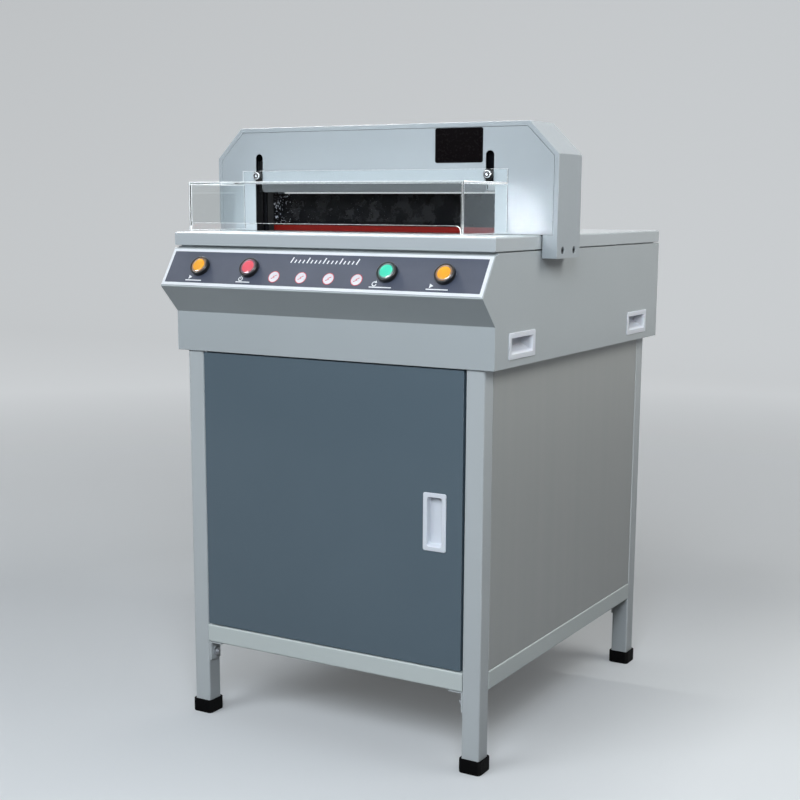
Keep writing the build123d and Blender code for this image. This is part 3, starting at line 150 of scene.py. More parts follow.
# Foot caps: moulded black rubber cups pushed over the leg ends.
# Moulded rubber is matt, with a dusty bloom that greys it in patches.
def moulded(name, pale, deep, rough, grain=3.846, depth=0.1, **shader):
    # The bloom lies in patches of about 36 mm, over the fine grain that the mould left.
    material, tree, surface, place = new_finish(name, IOR=1.5, **shader)
    bloom = add(tree, "ShaderNodeTexNoise", {"Vector": place, "Scale": marks(35.71),
                                             "Detail": 4.0})
    mould = add(tree, "ShaderNodeTexNoise", {"Vector": place, "Scale": marks(grain),
                                             "Detail": 2.0})
    tint(tree, surface, bloom.outputs["Fac"], deep, pale)
    skin(tree, surface, mould.outputs["Fac"], rough, 0.3, depth)
    return material


def is_fold(edge):
    return len(edge.link_faces) == 2 and edge.calc_face_angle(0) > math.radians(40)


def is_roomy(fold, end, least):
    """Whether the folds that turn off at this end are long enough to be rounded beside it."""
    nearly_straight_on = -0.87
    along = (fold.other_vert(end).co - end.co).normalized()
    for other in end.link_edges:
        if other is fold or not is_fold(other) or other.calc_length() > least:
            continue
        away = (other.other_vert(end).co - end.co).normalized()
        if along.dot(away) > nearly_straight_on:
            return False
    return True


def smooth(piece, angle=35):
    """Shades a piece smooth, apart from edges sharper than an angle in degrees."""
    mesh = piece.data
    if "custom_normal" in mesh.attributes:
        mesh.attributes.remove(mesh.attributes["custom_normal"])
    mesh.polygons.foreach_set("use_smooth", [True] * len(mesh.polygons))
    mesh.set_sharp_from_angle(angle=math.radians(angle))


def softened(node, material, width, body="machine"):
    """A copy of a CAD node whose edges are rounded, as a fold, a cast or a moulding is."""
    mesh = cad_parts[node].data.copy()
    mesh.name = node + "_soft"
    shape = bmesh.new()
    shape.from_mesh(mesh)
    bmesh.ops.remove_doubles(shape, verts=shape.verts, dist=0.005 * mm)
    bmesh.ops.dissolve_limit(shape, angle_limit=math.radians(0.5), verts=shape.verts,
                             edges=shape.edges)
    weight = shape.edges.layers.float.new("bevel_weight_edge")
    room_for_two = 2.05 * width * mm
    for fold in shape.edges:
        if is_fold(fold) and all(is_roomy(fold, end, room_for_two) for end in fold.verts):
            fold[weight] = 1.0
    shape.to_mesh(mesh)
    shape.free()
    mesh.materials.clear()
    mesh.materials.append(material)
    piece = bpy.data.objects.new(node + "_soft", mesh)
    bpy.context.scene.collection.objects.link(piece)
    smooth(piece)
    edge = piece.modifiers.new("Edge radius", "BEVEL")
    edge.width = width * mm
    edge.segments = 3
    edge.limit_method = "WEIGHT"
    edge.harden_normals = True
    edge.use_clamp_overlap = False
    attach(piece, body)
    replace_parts(piece, node)


cap_rubber = moulded("moulded black rubber", "#060607", "#030304", (0.6, 0.8),
                     Specular_IOR_Level=0.06)
softened("rubber_foot_caps", cap_rubber, 1.2)

# Cabinet panels: folded sheet set flush between the legs, coated like the stand.
# The sheet was rolled, and faint upright streaks of the rolling, about 24 mm wide and
# nearly 700 mm long, show through the coat.
panel_coat, tree, surface, place = new_finish("coated rolled steel sheet", IOR=1.5,
                                              Coat_Weight=0.25, Coat_Roughness=0.2)
upright = add(tree, "ShaderNodeMapping", {"Vector": place, "Scale": (1.0, 1.0, 0.035)})
rolling = add(tree, "ShaderNodeTexNoise", {"Vector": upright.outputs["Vector"],
                                           "Scale": marks(23.81), "Detail": 5.0})
streaks = add(tree, "ShaderNodeMapRange", {"Value": rolling.outputs["Fac"], "From Min": 0.3,
                                           "From Max": 0.7})
tint(tree, surface, streaks.outputs["Result"], "#A7AAA8", "#ACAEAC")
skin(tree, surface, rolling.outputs["Fac"], (0.41, 0.47), 0.08, 0.15)
dress(panel_coat, "side_panels", "cabinet_back_panel", "cabinet_floor")

# Door: folded steel tray turning on two plated pivot pins, textured slate-blue coat.
# The texture is finer and duller than the stand's, so the door stays even and dark.
door_coat = powder_coat("textured slate powder coat", "#576873", "#50616C", (0.42, 0.54),
                        peel=3.125)
softened("cabinet_door", door_coat, 0.8, "door")
dress(zinc_plate, "door_pivot_pins", "door_catch")


# Door pull and hand cups: injection-moulded white plastic, pressed into cut-outs in the
# sheet, with a raised rim that has a soft edge. Moulded ABS has a faint satin grain.
def paint_shade_and_light(material, keep, colour):
    """Turns a finish to another colour where keep, a socket of its nodes, is 0 and not 1; here
    it paints shade and highlights into the colour.
    """
    tree = material.node_tree
    surface = tree.nodes["Principled BSDF"]
    base_colour = surface.inputs["Base Color"].links[0].from_socket
    mixed = add(tree, "ShaderNodeMix", {0: keep, 6: linear(colour), 7: base_colour},
                data_type="RGBA")
    tree.links.new(mixed.outputs[2], surface.inputs["Base Color"])


def shaded_hollow_plastic(name, axis, rim, shade_colour):
    # The inside of each pocket is painted greyer than its rim, as painted shade; rim is the
    # rim's distance from the middle of the machine along the axis.
    material = moulded(name, "#F3F5FB", "#EBEEF6", (0.30, 0.40), Subsurface_Weight=0.05)
    tree = material.node_tree
    place = add(tree, "ShaderNodeTexCoord").outputs["Object"]
    sides = add(tree, "ShaderNodeSeparateXYZ", {0: place})
    distance = add(tree, "ShaderNodeMath", {0: sides.outputs[axis]}, operation="ABSOLUTE")
    near_rim = add(tree, "ShaderNodeMapRange", {"Value": distance.outputs[0],
                                                "From Min": rim - 6 * mm,
                                                "From Max": rim - 1.5 * mm})
    paint_shade_and_light(material, near_rim.outputs["Result"], shade_colour)
    return material


pull_face = -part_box("door_pull")[0][1]
cup_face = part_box("hand_cups")[1][0]
softened("door_pull", shaded_hollow_plastic("white ABS door pull", "Y", pull_face, "#E4E7ED"), 0.7,
         "door")
softened("hand_cups", shaded_hollow_plastic("white ABS hand cup", "X", cup_face, "#C8CBD3"), 0.6)

# Machine casing: one folded sheet shell with a sloped console nose, coated to match.
# The folds are tight, so each shows as a thin bright line along the corner.
casing_coat = powder_coat("powder-coated sheet steel", "#B9C0C3", "#B3BABC", (0.34, 0.44))
softened("body_casing", casing_coat, 0.9)
dress(zinc_plate, "base_pan", "side_frames")
dress(stand_coat, "control_box")
# Moulded black plastic is a deep grey with a satin sheen.
black_plastic = moulded("moulded black plastic", "#17181A", "#0E0F10", (0.28, 0.42))
dress(black_plastic, "power_inlet")

# Console panel: white-coated aluminium plate under a printed dark grey film.
# The film has a fine satin grain with a slight cloudiness, and the plate shows as a border.
panel_white = moulded("white-coated aluminium", "#F2F5F8", "#E9EDF2", (0.30, 0.42))
dress(panel_white, "console_panel")
overlay_film = moulded("printed polyester film", "#484F61", "#3A4151", (0.36, 0.5), 2.381, 0.04)
dress(overlay_film, "console_overlay")

# Push buttons: black moulded bezels screwed into the console, each with a translucent
# acrylic cap that has a bright lens inside a darker ring. The cap is lit by daylight only.
# The console leans back 41.3 mm in 62.8 mm of height, from the nose of the casing.
up_slope = Vector((0, 41.3, 62.8)).normalized()
outward = Vector((0, -up_slope.z, up_slope.y))
nose = Vector((0, -373.0, 768.0))
film_face = 1.3


def on_console(x, up, lift):
    """Turns a shape to lie on the console at x, up the slope and lifted off it, in mm."""
    foot = Vector((x, 0, 0)) + nose + up_slope * up + outward * lift
    turn = Matrix((Vector((1, 0, 0)), up_slope, outward)).transposed().to_4x4()
    return Matrix.Translation(foot * mm) @ turn


def finished(name, shape, materials, body, angle=35):
    """Makes a modelled shape a piece that rides on a body."""
    bmesh.ops.recalc_face_normals(shape, faces=shape.faces)
    mesh = bpy.data.meshes.new(name)
    shape.to_mesh(mesh)
    shape.free()
    for material in materials:
        mesh.materials.append(material)
    piece = bpy.data.objects.new(name, mesh)
    bpy.context.scene.collection.objects.link(piece)
    smooth(piece, angle)
    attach(piece, body)
    return piece


def turned(profile, steps=48):
    """Spins a profile of (radius, height) points in mm round the z axis into a shape."""
    shape = bmesh.new()
    points = [shape.verts.new((radius * mm, 0, height * mm)) for radius, height in profile]
    edges = [shape.edges.new(pair) for pair in zip(points, points[1:])]
    bmesh.ops.spin(shape, geom=points + edges, cent=(0, 0, 0), axis=(0, 0, 1),
                   angle=math.tau, steps=steps, use_merge=True)
    bmesh.ops.remove_doubles(shape, verts=shape.verts, dist=0.001 * mm)
    return shape


def join_in(whole, part):
    """Moves one shape into another."""
    carrier = bpy.data.meshes.new("carrier")
    part.to_mesh(carrier)
    part.free()
    whole.from_mesh(carrier)
    bpy.data.meshes.remove(carrier)


def acrylic_cap(name, pale, deep):
    # Tinted acrylic scatters inside, so it glows evenly and its skin is glossy.
    return moulded(name, pale, deep, (0.12, 0.2), 5.0, 0.03, Subsurface_Weight=0.25,
                   Subsurface_Radius=(0.004, 0.002, 0.001), Coat_Weight=0.5,
                   Coat_Roughness=0.05)


button_up = 37.6
lens_radius, lens_foot = 11.0, 7.0
bezel_profile = [(9.2, -3.0), (9.2, 0.9), (14.4, 0.9), (14.4, 7.9), (14.55, 8.3), (14.9, 8.5),
                 (15.8, 8.45), (16.5, 8.0), (16.9, 7.2), (17.0, 6.2), (17.0, 0.6), (16.8, 0.0),
                 (11.0, 0.0), (11.0, -26.0), (0.0, -26.0)]
cap_profile = [(0.0, -11.8), (6.0, -11.8), (6.0, 4.2), (13.6, 4.2), (14.0, 4.6), (14.0, 7.2),
               (13.8, 7.9), (13.3, 8.2), (11.5, 8.0), (11.1, 7.7), (10.9, 7.7), (10.6, 8.1),
               (9.0, 8.45), (6.0, 8.65), (2.4, 8.75), (0.0, 8.75)]
amber = (acrylic_cap("amber acrylic lens", "#FFB410", "#FFA804"),
         acrylic_cap("amber acrylic ring", "#A07F62", "#8E6E50"))
red = (acrylic_cap("red acrylic lens", "#F05C6C", "#EA5062"),
       acrylic_cap("red acrylic ring", "#8A6470", "#785460"))
green = (acrylic_cap("green acrylic lens", "#3CE4BE", "#30DAB2"),
         acrylic_cap("green acrylic ring", "#5A7C78", "#4A6C68"))
bezels = bmesh.new()
for node, body, x, lens_and_ring in (("cut_button_left", "left_cut_button", -233.0, amber),
                                     ("red_button", "red_stop_button", -131.5, red),
                                     ("green_button", "green_start_button", 131.5, green),
                                     ("cut_button_right", "right_cut_button", 233.0, amber)):
    cap = turned(cap_profile)
    for face in cap.faces:
        centre = face.calc_center_median()
        in_lens = (math.hypot(centre.x, centre.y) < lens_radius * mm
                   and centre.z > lens_foot * mm)
        face.material_index = 0 if in_lens else 1
    seat = on_console(x, button_up, film_face)
    bmesh.ops.transform(cap, matrix=seat, verts=cap.verts)
    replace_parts(finished(node + "_cap", cap, lens_and_ring, body), node)
    bezel = turned(bezel_profile)
    bmesh.ops.transform(bezel, matrix=seat, verts=bezel.verts)
    join_in(bezels, bezel)
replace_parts(finished("moulded_bezels", bezels, [black_plastic], "machine"), "button_bezels")

# Indicator discs: thin white printed discs with a red rim, stuck on the film, each with a
# plain pair of slanted dashes. Their print is a slightly raised gloss ink.
disc_white = moulded("white printed disc", "#E6E4E9", "#DCDAE0", (0.25, 0.35))
red_ink = moulded("red gloss ink", "#D8505C", "#C8404C", (0.22, 0.32))
disc_up, rim_inside = 24.0, 9.4
disc_profile = [(0.0, 0.0), (10.5, 0.0), (10.5, 0.3), (10.3, 0.4), (9.5, 0.4),
                (rim_inside, 0.36), (0.0, 0.36)]
dash_lean = Matrix.Rotation(math.radians(28), 3, "Z")
discs = bmesh.new()
for x in (-78.8, -26.3, 26.3, 78.8):
    disc = turned(disc_profile, 40)
    for face in disc.faces:
        centre = face.calc_center_median()
        if math.hypot(centre.x, centre.y) > rim_inside * mm:
            face.material_index = 1
    for side in (-1, 1):
        dash = bmesh.ops.create_cube(disc, size=1.0)["verts"]
        bmesh.ops.scale(disc, vec=(7.0 * mm, 1.3 * mm, 0.04 * mm), verts=dash)
        bmesh.ops.rotate(disc, matrix=dash_lean, verts=dash)
        bmesh.ops.translate(disc, vec=(side * 1.6 * mm, side * 1.9 * mm, 0.38 * mm), verts=dash)
        for corner in dash:
            for face in corner.link_faces:
                face.material_index = 1
    bmesh.ops.transform(disc, matrix=on_console(x, disc_up, film_face), verts=disc.verts)
    join_in(discs, disc)
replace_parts(finished("printed_discs", discs, [disc_white, red_ink], "machine"),
            "indicator_discs")

# Console print: white ink on the film, a slanted ruler scale over the discs and one plain
# sign under each button. The ink is a thin opaque layer with a satin skin.
white_ink = moulded("white screen-print ink", "#F4F6F8", "#E8ECF0", (0.35, 0.45))
prints = bmesh.new()
ink_thickness = 0.08
bar_lift, sign_lift = film_face + 0.02, film_face + 0.06


def ink_bar(x, up, length, width, degrees):
    bar = bmesh.ops.create_cube(prints, size=1.0)["verts"]
    bmesh.ops.scale(prints, vec=(length * mm, width * mm, ink_thickness * mm), verts=bar)
    bmesh.ops.rotate(prints, matrix=Matrix.Rotation(math.radians(degrees), 3, "Z"), verts=bar)
    bmesh.ops.transform(prints, matrix=on_console(x, up, bar_lift), verts=bar)


def ink_arrow(x, up, radius, degrees):
    arrow = bmesh.ops.create_circle(prints, cap_ends=True, segments=3,
                                    radius=radius * mm)["verts"]
    bmesh.ops.rotate(prints, matrix=Matrix.Rotation(math.radians(degrees), 3, "Z"), verts=arrow)
    bmesh.ops.transform(prints, matrix=on_console(x, up, sign_lift), verts=arrow)


def ink_ring(x, up, radius, width, start, stop):
    """A ring from one angle to another, in degrees; it stays open where they don't meet."""
    before = set(prints.verts)
    rim = [prints.verts.new(((radius + side * width / 2) * mm, 0, 0)) for side in (-1, 1)]
    edge = prints.edges.new(rim)
    bmesh.ops.rotate(prints, matrix=Matrix.Rotation(math.radians(start), 3, "Z"), verts=rim)
    bmesh.ops.spin(prints, geom=rim + [edge], cent=(0, 0, 0), axis=(0, 0, 1),
                   angle=math.radians(stop - start), steps=20)
    drawn = [v for v in prints.verts if v not in before]
    bmesh.ops.transform(prints, matrix=on_console(x, up, sign_lift), verts=drawn)


# Ruler: every fourth bar is tall, and all stand on one line and lean the same way.
ruler_left, ruler_foot, ruler_pitch, ruler_lean = -56.0, 51.0, 7.8, 72.0
for count in range(17):
    tall = 11.0 if count % 4 == 0 else 6.5
    ink_bar(ruler_left + count * ruler_pitch + tall / 6, ruler_foot + tall / 2, tall, 2.3,
            ruler_lean)
# Underlines of the four buttons, then the arrows of the amber ones.
for x, length in ((-239.5, 33.0), (-137.5, 28.0), (125.0, 40.0), (225.0, 38.0)):
    ink_bar(x, 12.4, length, 1.9, 0.0)
for x in (-248.5, 213.0):
    ink_arrow(x, 18.4, 4.4, -90.0)
# A ring cut by a bar under the red button, and one that ends in an arrow under the green.
ink_ring(-143.5, 18.2, 3.6, 1.5, 125.0, 415.0)
ink_bar(-143.5, 21.0, 5.0, 1.5, 90.0)
ink_ring(113.0, 18.2, 3.6, 1.5, 60.0, 350.0)
ink_arrow(115.2, 21.6, 2.8, 0.0)
finished("console_marks", prints, [white_ink], "machine")

# Knife bed and tables: cast iron bed machined flat, with folded sheet tables before and
# behind it, coated like the casing. The cutting stick is red moulded plastic, which is dull.
table_coat = powder_coat("powder-coated table sheet", "#C3CACD", "#BDC4C7", (0.32, 0.42))
softened("front_table", table_coat, 0.8)
softened("rear_table", table_coat, 0.8)
bed_iron = plated_metal("machined cast iron", "#8E9296", (0.30, 0.46), 5.556)
stick_red = moulded("red moulded nylon", "#74120C", "#650F09", (0.45, 0.6),
                    Specular_IOR_Level=0.12)
dress(bed_iron, "knife_bed")
dress(stick_red, "cutting_stick", "gauge_sole")


# Gantry: a welded sheet arch with an inset front plate, coated, on two cast uprights.
# Its side screws are blackened and stand in small round recesses.
def gantry_coat(name):
    # A smoother coat than the stand's, with a shallower peel.
    return powder_coat(name, "#B1B9BD", "#ABB3B8", (0.30, 0.40), 5.882, 0.08)


arch_coat = gantry_coat("powder-coated gantry sheet")
softened("gantry_shell", arch_coat, 0.95)
# The front plate's lip over the opening is painted greyer than the plate around it: painted
# shade from the guard's top sheet. It ends 939 mm up, and between the two slots.
plate_coat = gantry_coat("powder-coated front plate")
lip_top, lip_middle, lip_half = 939.0, -15.5, 219.5
tree = plate_coat.node_tree
place = add(tree, "ShaderNodeTexCoord").outputs["Object"]
sides = add(tree, "ShaderNodeSeparateXYZ", {0: place})
above = add(tree, "ShaderNodeMapRange", {"Value": sides.outputs["Z"],
                                         "From Min": lip_top * mm,
                                         "From Max": (lip_top + 3) * mm})
aside = add(tree, "ShaderNodeMath", {0: sides.outputs["X"], 1: lip_middle * mm},
            operation="SUBTRACT")
aside = add(tree, "ShaderNodeMath", {0: aside.outputs[0]}, operation="ABSOLUTE")
beyond = add(tree, "ShaderNodeMapRange", {"Value": aside.outputs[0],
                                          "From Min": lip_half * mm,
                                          "From Max": (lip_half + 1) * mm})
outside_painted_shade = add(tree, "ShaderNodeMath", {0: above.outputs["Result"], 1: beyond.outputs["Result"]},
              operation="MAXIMUM")
paint_shade_and_light(plate_coat, outside_painted_shade.outputs[0], "#565A5C")
softened("gantry_front_plate", plate_coat, 0.5)
softened("gantry_rear_plate", arch_coat, 0.5)
# Blackened steel is a dark metal with a dull shine; black oxide hardly shines at all.
dark_steel = plated_metal("blackened steel", "#55585C", (0.32, 0.48))
dress(dark_steel, "gantry_side_screws")
black_oxide = plated_metal("black-oxide steel", "#15161A", (0.5, 0.65))
dress(black_oxide, "knife_bridge")
# Foundry enamel is a thick, nearly black brushed paint; drawn this dark, it is also painted
# shade for the inside of the opening.
frame_enamel = powder_coat("dark blue foundry enamel", "#070A12", "#04060B", (0.4, 0.55), 5.0,
                           gloss=0.03)
dress(frame_enamel, "gantry_frame")

# Face plate: a small plain black enamelled plate with rounded corners on the gantry, kept
# bare, with only a thin pressed line round its edge. Enamel is smooth and glossy.
black_enamel = moulded("black satin enamel", "#0D090B", "#080506", (0.2, 0.3),
                       Specular_IOR_Level=0.08)
plate_size = Vector((87.5, 0.6, 55.6))
plate_middle = Vector((155.75, -170.3, 999.7))
plate = bmesh.new()
corners = bmesh.ops.create_cube(plate, size=1.0)["verts"]
bmesh.ops.scale(plate, vec=plate_size * mm, verts=corners)
bmesh.ops.translate(plate, vec=plate_middle * mm, verts=corners)
through = [e for e in plate.edges if abs(e.verts[0].co.y - e.verts[1].co.y) > 0.4 * mm]
bmesh.ops.bevel(plate, geom=through, offset=3.5 * mm, affect="EDGES", segments=6, profile=0.5,
                material=-1)
front = min(plate.faces, key=lambda face: face.calc_center_median().y)
bmesh.ops.inset_region(plate, faces=[front], thickness=1.6 * mm)
bmesh.ops.inset_region(plate, faces=[front], thickness=0.5 * mm, depth=-0.25 * mm)
finished("plain_face_plate", plate, [black_enamel], "machine", angle=8)

# Guard: clear cast acrylic sheet, cut, flame-polished and solvent-welded into a box that
# hangs on two button-head screws with black washers. Its cut edges are drawn white, a painted
# highlight, and wiping has left it a little hazy in patches of about 70 mm.
clear_acrylic, tree, surface, place = new_finish(
    "clear cast acrylic", Base_Color=linear("#FAFCFC"), IOR=1.49, Transmission_Weight=1.0,
    Specular_IOR_Level=0.25)
wipe = add(tree, "ShaderNodeTexNoise", {"Vector": place, "Scale": marks(71.43), "Detail": 5.0})
smear = add(tree, "ShaderNodeMapRange", {"Value": wipe.outputs["Fac"], "From Min": 0.35,
                                         "From Max": 0.8, "To Min": 0.0, "To Max": 0.03})
tree.links.new(smear.outputs["Result"], surface.inputs["Roughness"])
# Nearly opaque white: painted highlight on the cut edges.
painted_edge_highlight = moulded("acrylic edge, painted highlight", "#FFFFFF", "#F2F6F7", (0.2, 0.35),
                       Transmission_Weight=0.15)


def break_edges(shape, faces, across):
    """Breaks the sharp edges of a cut sheet; the narrow flats and level edges get the white edge
    material, a painted highlight.
    """
    rims = {edge for face in faces for edge in face.edges
            if any(abs(side.normal[across]) > 0.5 for side in edge.link_faces)}
    cut = bmesh.ops.bevel(shape, geom=list(rims), offset=0.6 * mm, affect="EDGES", segments=1,
                          profile=0.5, material=-1)
    shape.normal_update()
    for face in cut["faces"]:
        face.material_index = 1
    for face in faces:
        if face.is_valid and abs(face.normal[across]) < 0.5 and abs(face.normal.z) > 0.5:
            face.material_index = 1


def acrylic_sheet(shape, low, high):
    """One cut sheet between two corners in mm."""
    across = min(range(3), key=lambda axis: high[axis] - low[axis])
    verts = bmesh.ops.create_cube(shape, size=1.0)["verts"]
    size = Vector(b - a for a, b in zip(low, high))
    middle = Vector((a + b) / 2 for a, b in zip(low, high))
    bmesh.ops.scale(shape, vec=size * mm, verts=verts)
    bmesh.ops.translate(shape, vec=middle * mm, verts=verts)
    faces = {face for corner in verts for face in corner.link_faces}
    shape.normal_update()
    break_edges(shape, faces, across)


sheet, flange, joint = 4.0, 3.1, 0.1
guard_left, guard_right = -277.4, 246.0
guard_front, guard_back = -327.0, -171.0
guard_foot, guard_top, flange_top = 860.4, 941.0, 962.0
behind_front = guard_front + sheet + joint
top_underside = guard_top - sheet
guard = bmesh.new()
acrylic_sheet(guard, (guard_left, behind_front, guard_foot),
              (guard_left + sheet, guard_back, top_underside - joint))
acrylic_sheet(guard, (guard_right - sheet, behind_front, guard_foot),
              (guard_right, guard_back, top_underside - joint))
acrylic_sheet(guard, (guard_left, behind_front, top_underside),
              (guard_right, guard_back - flange - joint, guard_top))
acrylic_sheet(guard, (guard_left, guard_back - flange, top_underside),
              (guard_right, guard_back, flange_top))
# The front sheet is cut away above the table, with a rounded corner at each leg.
front_foot, cut_corner = 873.0, 8.0
outline = [(guard_left, guard_top), (guard_left, guard_foot), (guard_left + sheet, guard_foot)]
for side, start in ((guard_left + sheet + cut_corner, 180),
                    (guard_right - sheet - cut_corner, 90)):
    for step in range(7):
        turn = math.radians(start - step * 15)
        outline.append((side + cut_corner * math.cos(turn),
                        front_foot - cut_corner + cut_corner * math.sin(turn)))
outline += [(guard_right - sheet, guard_foot), (guard_right, guard_foot),
            (guard_right, guard_top)]
corners = [guard.verts.new((x * mm, guard_front * mm, z * mm)) for x, z in outline]
front = guard.faces.new(corners)
thick = bmesh.ops.extrude_face_region(guard, geom=[front])
back = [v for v in thick["geom"] if isinstance(v, bmesh.types.BMVert)]
bmesh.ops.translate(guard, vec=(0, sheet * mm, 0), verts=back)
guard.normal_update()
break_edges(guard, {face for corner in corners + back for face in corner.link_faces}, 1)
guard = finished("acrylic_guard", guard, [clear_acrylic, painted_edge_highlight], "guard", angle=20)
guard.visible_shadow = False
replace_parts(guard, "guard_shield")
# Nickel plate is the brightest metal here and mirrors the lamps.
bright_screw = plated_metal("nickel-plated steel", "#D2D4D6", (0.12, 0.24))
dress(bright_screw, "guard_bolts")
dress(black_plastic, "guard_washers", "guard_slide_blocks")


# Knife, beam and drive: ground tool steel in a steel beam, moved by a screw and a bronze
# nut from a worm gearbox. Ground steel shows fine lines along its length.
def ground_finish(name, colour, squeeze):
    # Grinding lines are far finer than 1 mm; drawn at about 1 mm, and some 50 mm long.
    material, tree, surface, place = new_finish(name, Base_Color=linear(colour), Metallic=1.0)
    along = add(tree, "ShaderNodeMapping", {"Vector": place, "Scale": (squeeze, 1.0, 1.0)})
    lines = add(tree, "ShaderNodeTexNoise", {"Vector": along.outputs["Vector"],
                                             "Scale": marks(1.1111), "Detail": 3.0})
    skin(tree, surface, lines.outputs["Fac"], (0.26, 0.36), 0.06, 0.03)
    return material


def threaded(name, axis):
    # Rolled screw thread: ridges across the bar, one 10 mm pitch apart. The wave texture
    # makes a ridge every tau / 20 divided by its scale.
    material, tree, surface, place = new_finish(name, Base_Color=linear("#A8ABB0"),
                                                Metallic=1.0, Roughness=0.3)
    ridges = add(tree, "ShaderNodeTexWave", {"Vector": place, "Scale": marks(10) * math.tau / 20},
                 bands_direction=axis)
    relief = add(tree, "ShaderNodeBump", {"Height": ridges.outputs["Fac"], "Strength": 0.8,
                                          "Distance": 0.8 * mm})
    tree.links.new(relief.outputs["Normal"], surface.inputs["Normal"])
    return material


tool_steel = ground_finish("ground tool steel", "#C8CACC", 0.02)
beam_steel = ground_finish("ground mild steel", "#A9ACB0", 0.03)
upright_thread = threaded("rolled screw thread", "Z")
# Cast bronze is a warm, slightly cloudy metal; hammered enamel is grey with a coarse skin.
bronze = plated_metal("cast tin bronze", "#B08A4E", (0.28, 0.42), 11.11)
drive_paint = powder_coat("hammered machine enamel", "#6E767C", "#666E74", (0.34, 0.5), 3.846)
dress(tool_steel, "knife_blade")
dress(beam_steel, "knife_pull_rod")
dress(black_oxide, "knife_carriage")
dress(dark_steel, "knife_bolts")
dress(bronze, "drive_nut")
dress(upright_thread, "drive_screw")
dress(drive_paint, "worm_gearbox", "knife_motor", "clamp_motor", "gauge_motor")

# Clamp: a ground steel bar on two rods through the bed, pulled down by its own screw.
# The rods are blackened; the bar's faces are ground along their length.
dress(beam_steel, "clamp_bar")
dress(black_oxide, "clamp_yoke")
dress(upright_thread, "clamp_screw")

# Back gauge: a black gloss-enamelled casting with ribs behind it, on a red nylon sole, and
# moved by a lead screw under the table. The enamel is mottled where the casting shows, in
# blotches of about 22 mm.
gauge_enamel, tree, surface, place = new_finish("black enamel on cast iron", IOR=1.5,
                                                Specular_IOR_Level=0.3)
blotch = add(tree, "ShaderNodeTexNoise", {"Vector": place, "Scale": marks(22.22),
                                          "Detail": 6.0, "Roughness": 0.65})
tint(tree, surface, blotch.outputs["Fac"], "#050608", "#0D0E12")
skin(tree, surface, blotch.outputs["Fac"], (0.08, 0.4), 0.6, 0.6, reach=(0.35, 0.65))
# Painted highlights of mirrored light: fine bright specks on its left end, drawn at about
# 4 mm, which thin out to the right.
glint_left, glint_right = -245.0, -150.0
glint_noise = add(tree, "ShaderNodeTexNoise", {"Vector": place, "Scale": marks(3.846), "Detail": 3.0})
sides = add(tree, "ShaderNodeSeparateXYZ", {0: place})
glint_fade = add(tree, "ShaderNodeMapRange", {"Value": sides.outputs["X"],
                                            "From Min": glint_left * mm,
                                            "From Max": glint_right * mm,
                                            "To Min": 0.545, "To Max": 0.74})
glints = add(tree, "ShaderNodeMath", {0: glint_fade.outputs["Result"], 1: glint_noise.outputs["Fac"]},
           operation="SUBTRACT")
glints = add(tree, "ShaderNodeMapRange", {"Value": glints.outputs[0], "From Min": -0.12,
                                        "From Max": 0.0})
paint_shade_and_light(gauge_enamel, glints.outputs["Result"], "#B4B6BE")
dress(gauge_enamel, "back_gauge")
dress(threaded("rolled lead screw thread", "Y"), "gauge_screw")
ground_steel = plated_metal("ground steel", "#C4C6C8", (0.20, 0.34), 4.545)
dress(ground_steel, "gauge_nut_arm")
dress(zinc_plate, "gauge_screw_mounts")

# Studio sweep: a plain pale paper that runs under the machine and curves up behind it.
# Like everything below, it isn't part of the object.
sweep = bmesh.new()
edge = [sweep.verts.new((side * 30.0, -20.0, 0)) for side in (-1, 1)]
line = sweep.edges.new(edge)
run = bmesh.ops.extrude_edge_only(sweep, edges=[line])
far = [v for v in run["geom"] if isinstance(v, bmesh.types.BMVert)]
bmesh.ops.translate(sweep, vec=(0, 25.0, 0), verts=far)
curve = [e for e in run["geom"] if isinstance(e, bmesh.types.BMEdge)
         and all(v in far for v in e.verts)]
bmesh.ops.spin(sweep, geom=curve, cent=(0, 5.0, 3.0), axis=(1, 0, 0), angle=math.radians(90),
               steps=24)
paper_colour = linear("#DADDDF")
backdrop, tree, paper, place = new_finish("pale paper sweep", Roughness=0.9,
                                          Specular_IOR_Level=0.0, Emission_Color=paper_colour)
rays = add(tree, "ShaderNodeLightPath")
shown = add(tree, "ShaderNodeMath", {0: rays.outputs["Is Camera Ray"],
                                     1: rays.outputs["Is Glossy Ray"]}, operation="MAXIMUM")
shown = add(tree, "ShaderNodeMath", {0: shown.outputs[0],
                                     1: rays.outputs["Is Transmission Ray"]},
            operation="MAXIMUM")
# The paper throws little light back up on the machine; seen directly it is pale.
ground = add(tree, "ShaderNodeMix", {0: shown.outputs[0], 6: linear("#4A4B4C"),
                                     7: paper_colour}, data_type="RGBA")
tree.links.new(ground.outputs[2], paper.inputs["Base Color"])
# Its glow fades in with the distance from the machine, where the lamps' own light runs out.
reach = add(tree, "ShaderNodeVectorMath", {0: place}, operation="LENGTH")
rise = add(tree, "ShaderNodeMapRange", {"Value": reach.outputs["Value"], "From Min": 1.2,
                                        "From Max": 4.5, "To Min": 0.13, "To Max": 0.62})
glow = add(tree, "ShaderNodeMath", {0: rise.outputs["Result"], 1: shown.outputs[0]},
           operation="MULTIPLY")
tree.links.new(glow.outputs[0], paper.inputs["Emission Strength"])


def studio_piece(name, shape, material):
    mesh = bpy.data.meshes.new(name)
    shape.to_mesh(mesh)
    shape.free()
    mesh.materials.append(material)
    piece = bpy.data.objects.new(name, mesh)
    bpy.context.scene.collection.objects.link(piece)
    return piece


floor = studio_piece("studio_sweep", sweep, backdrop)
floor.data.polygons.foreach_set("use_smooth", [True] * len(floor.data.polygons))

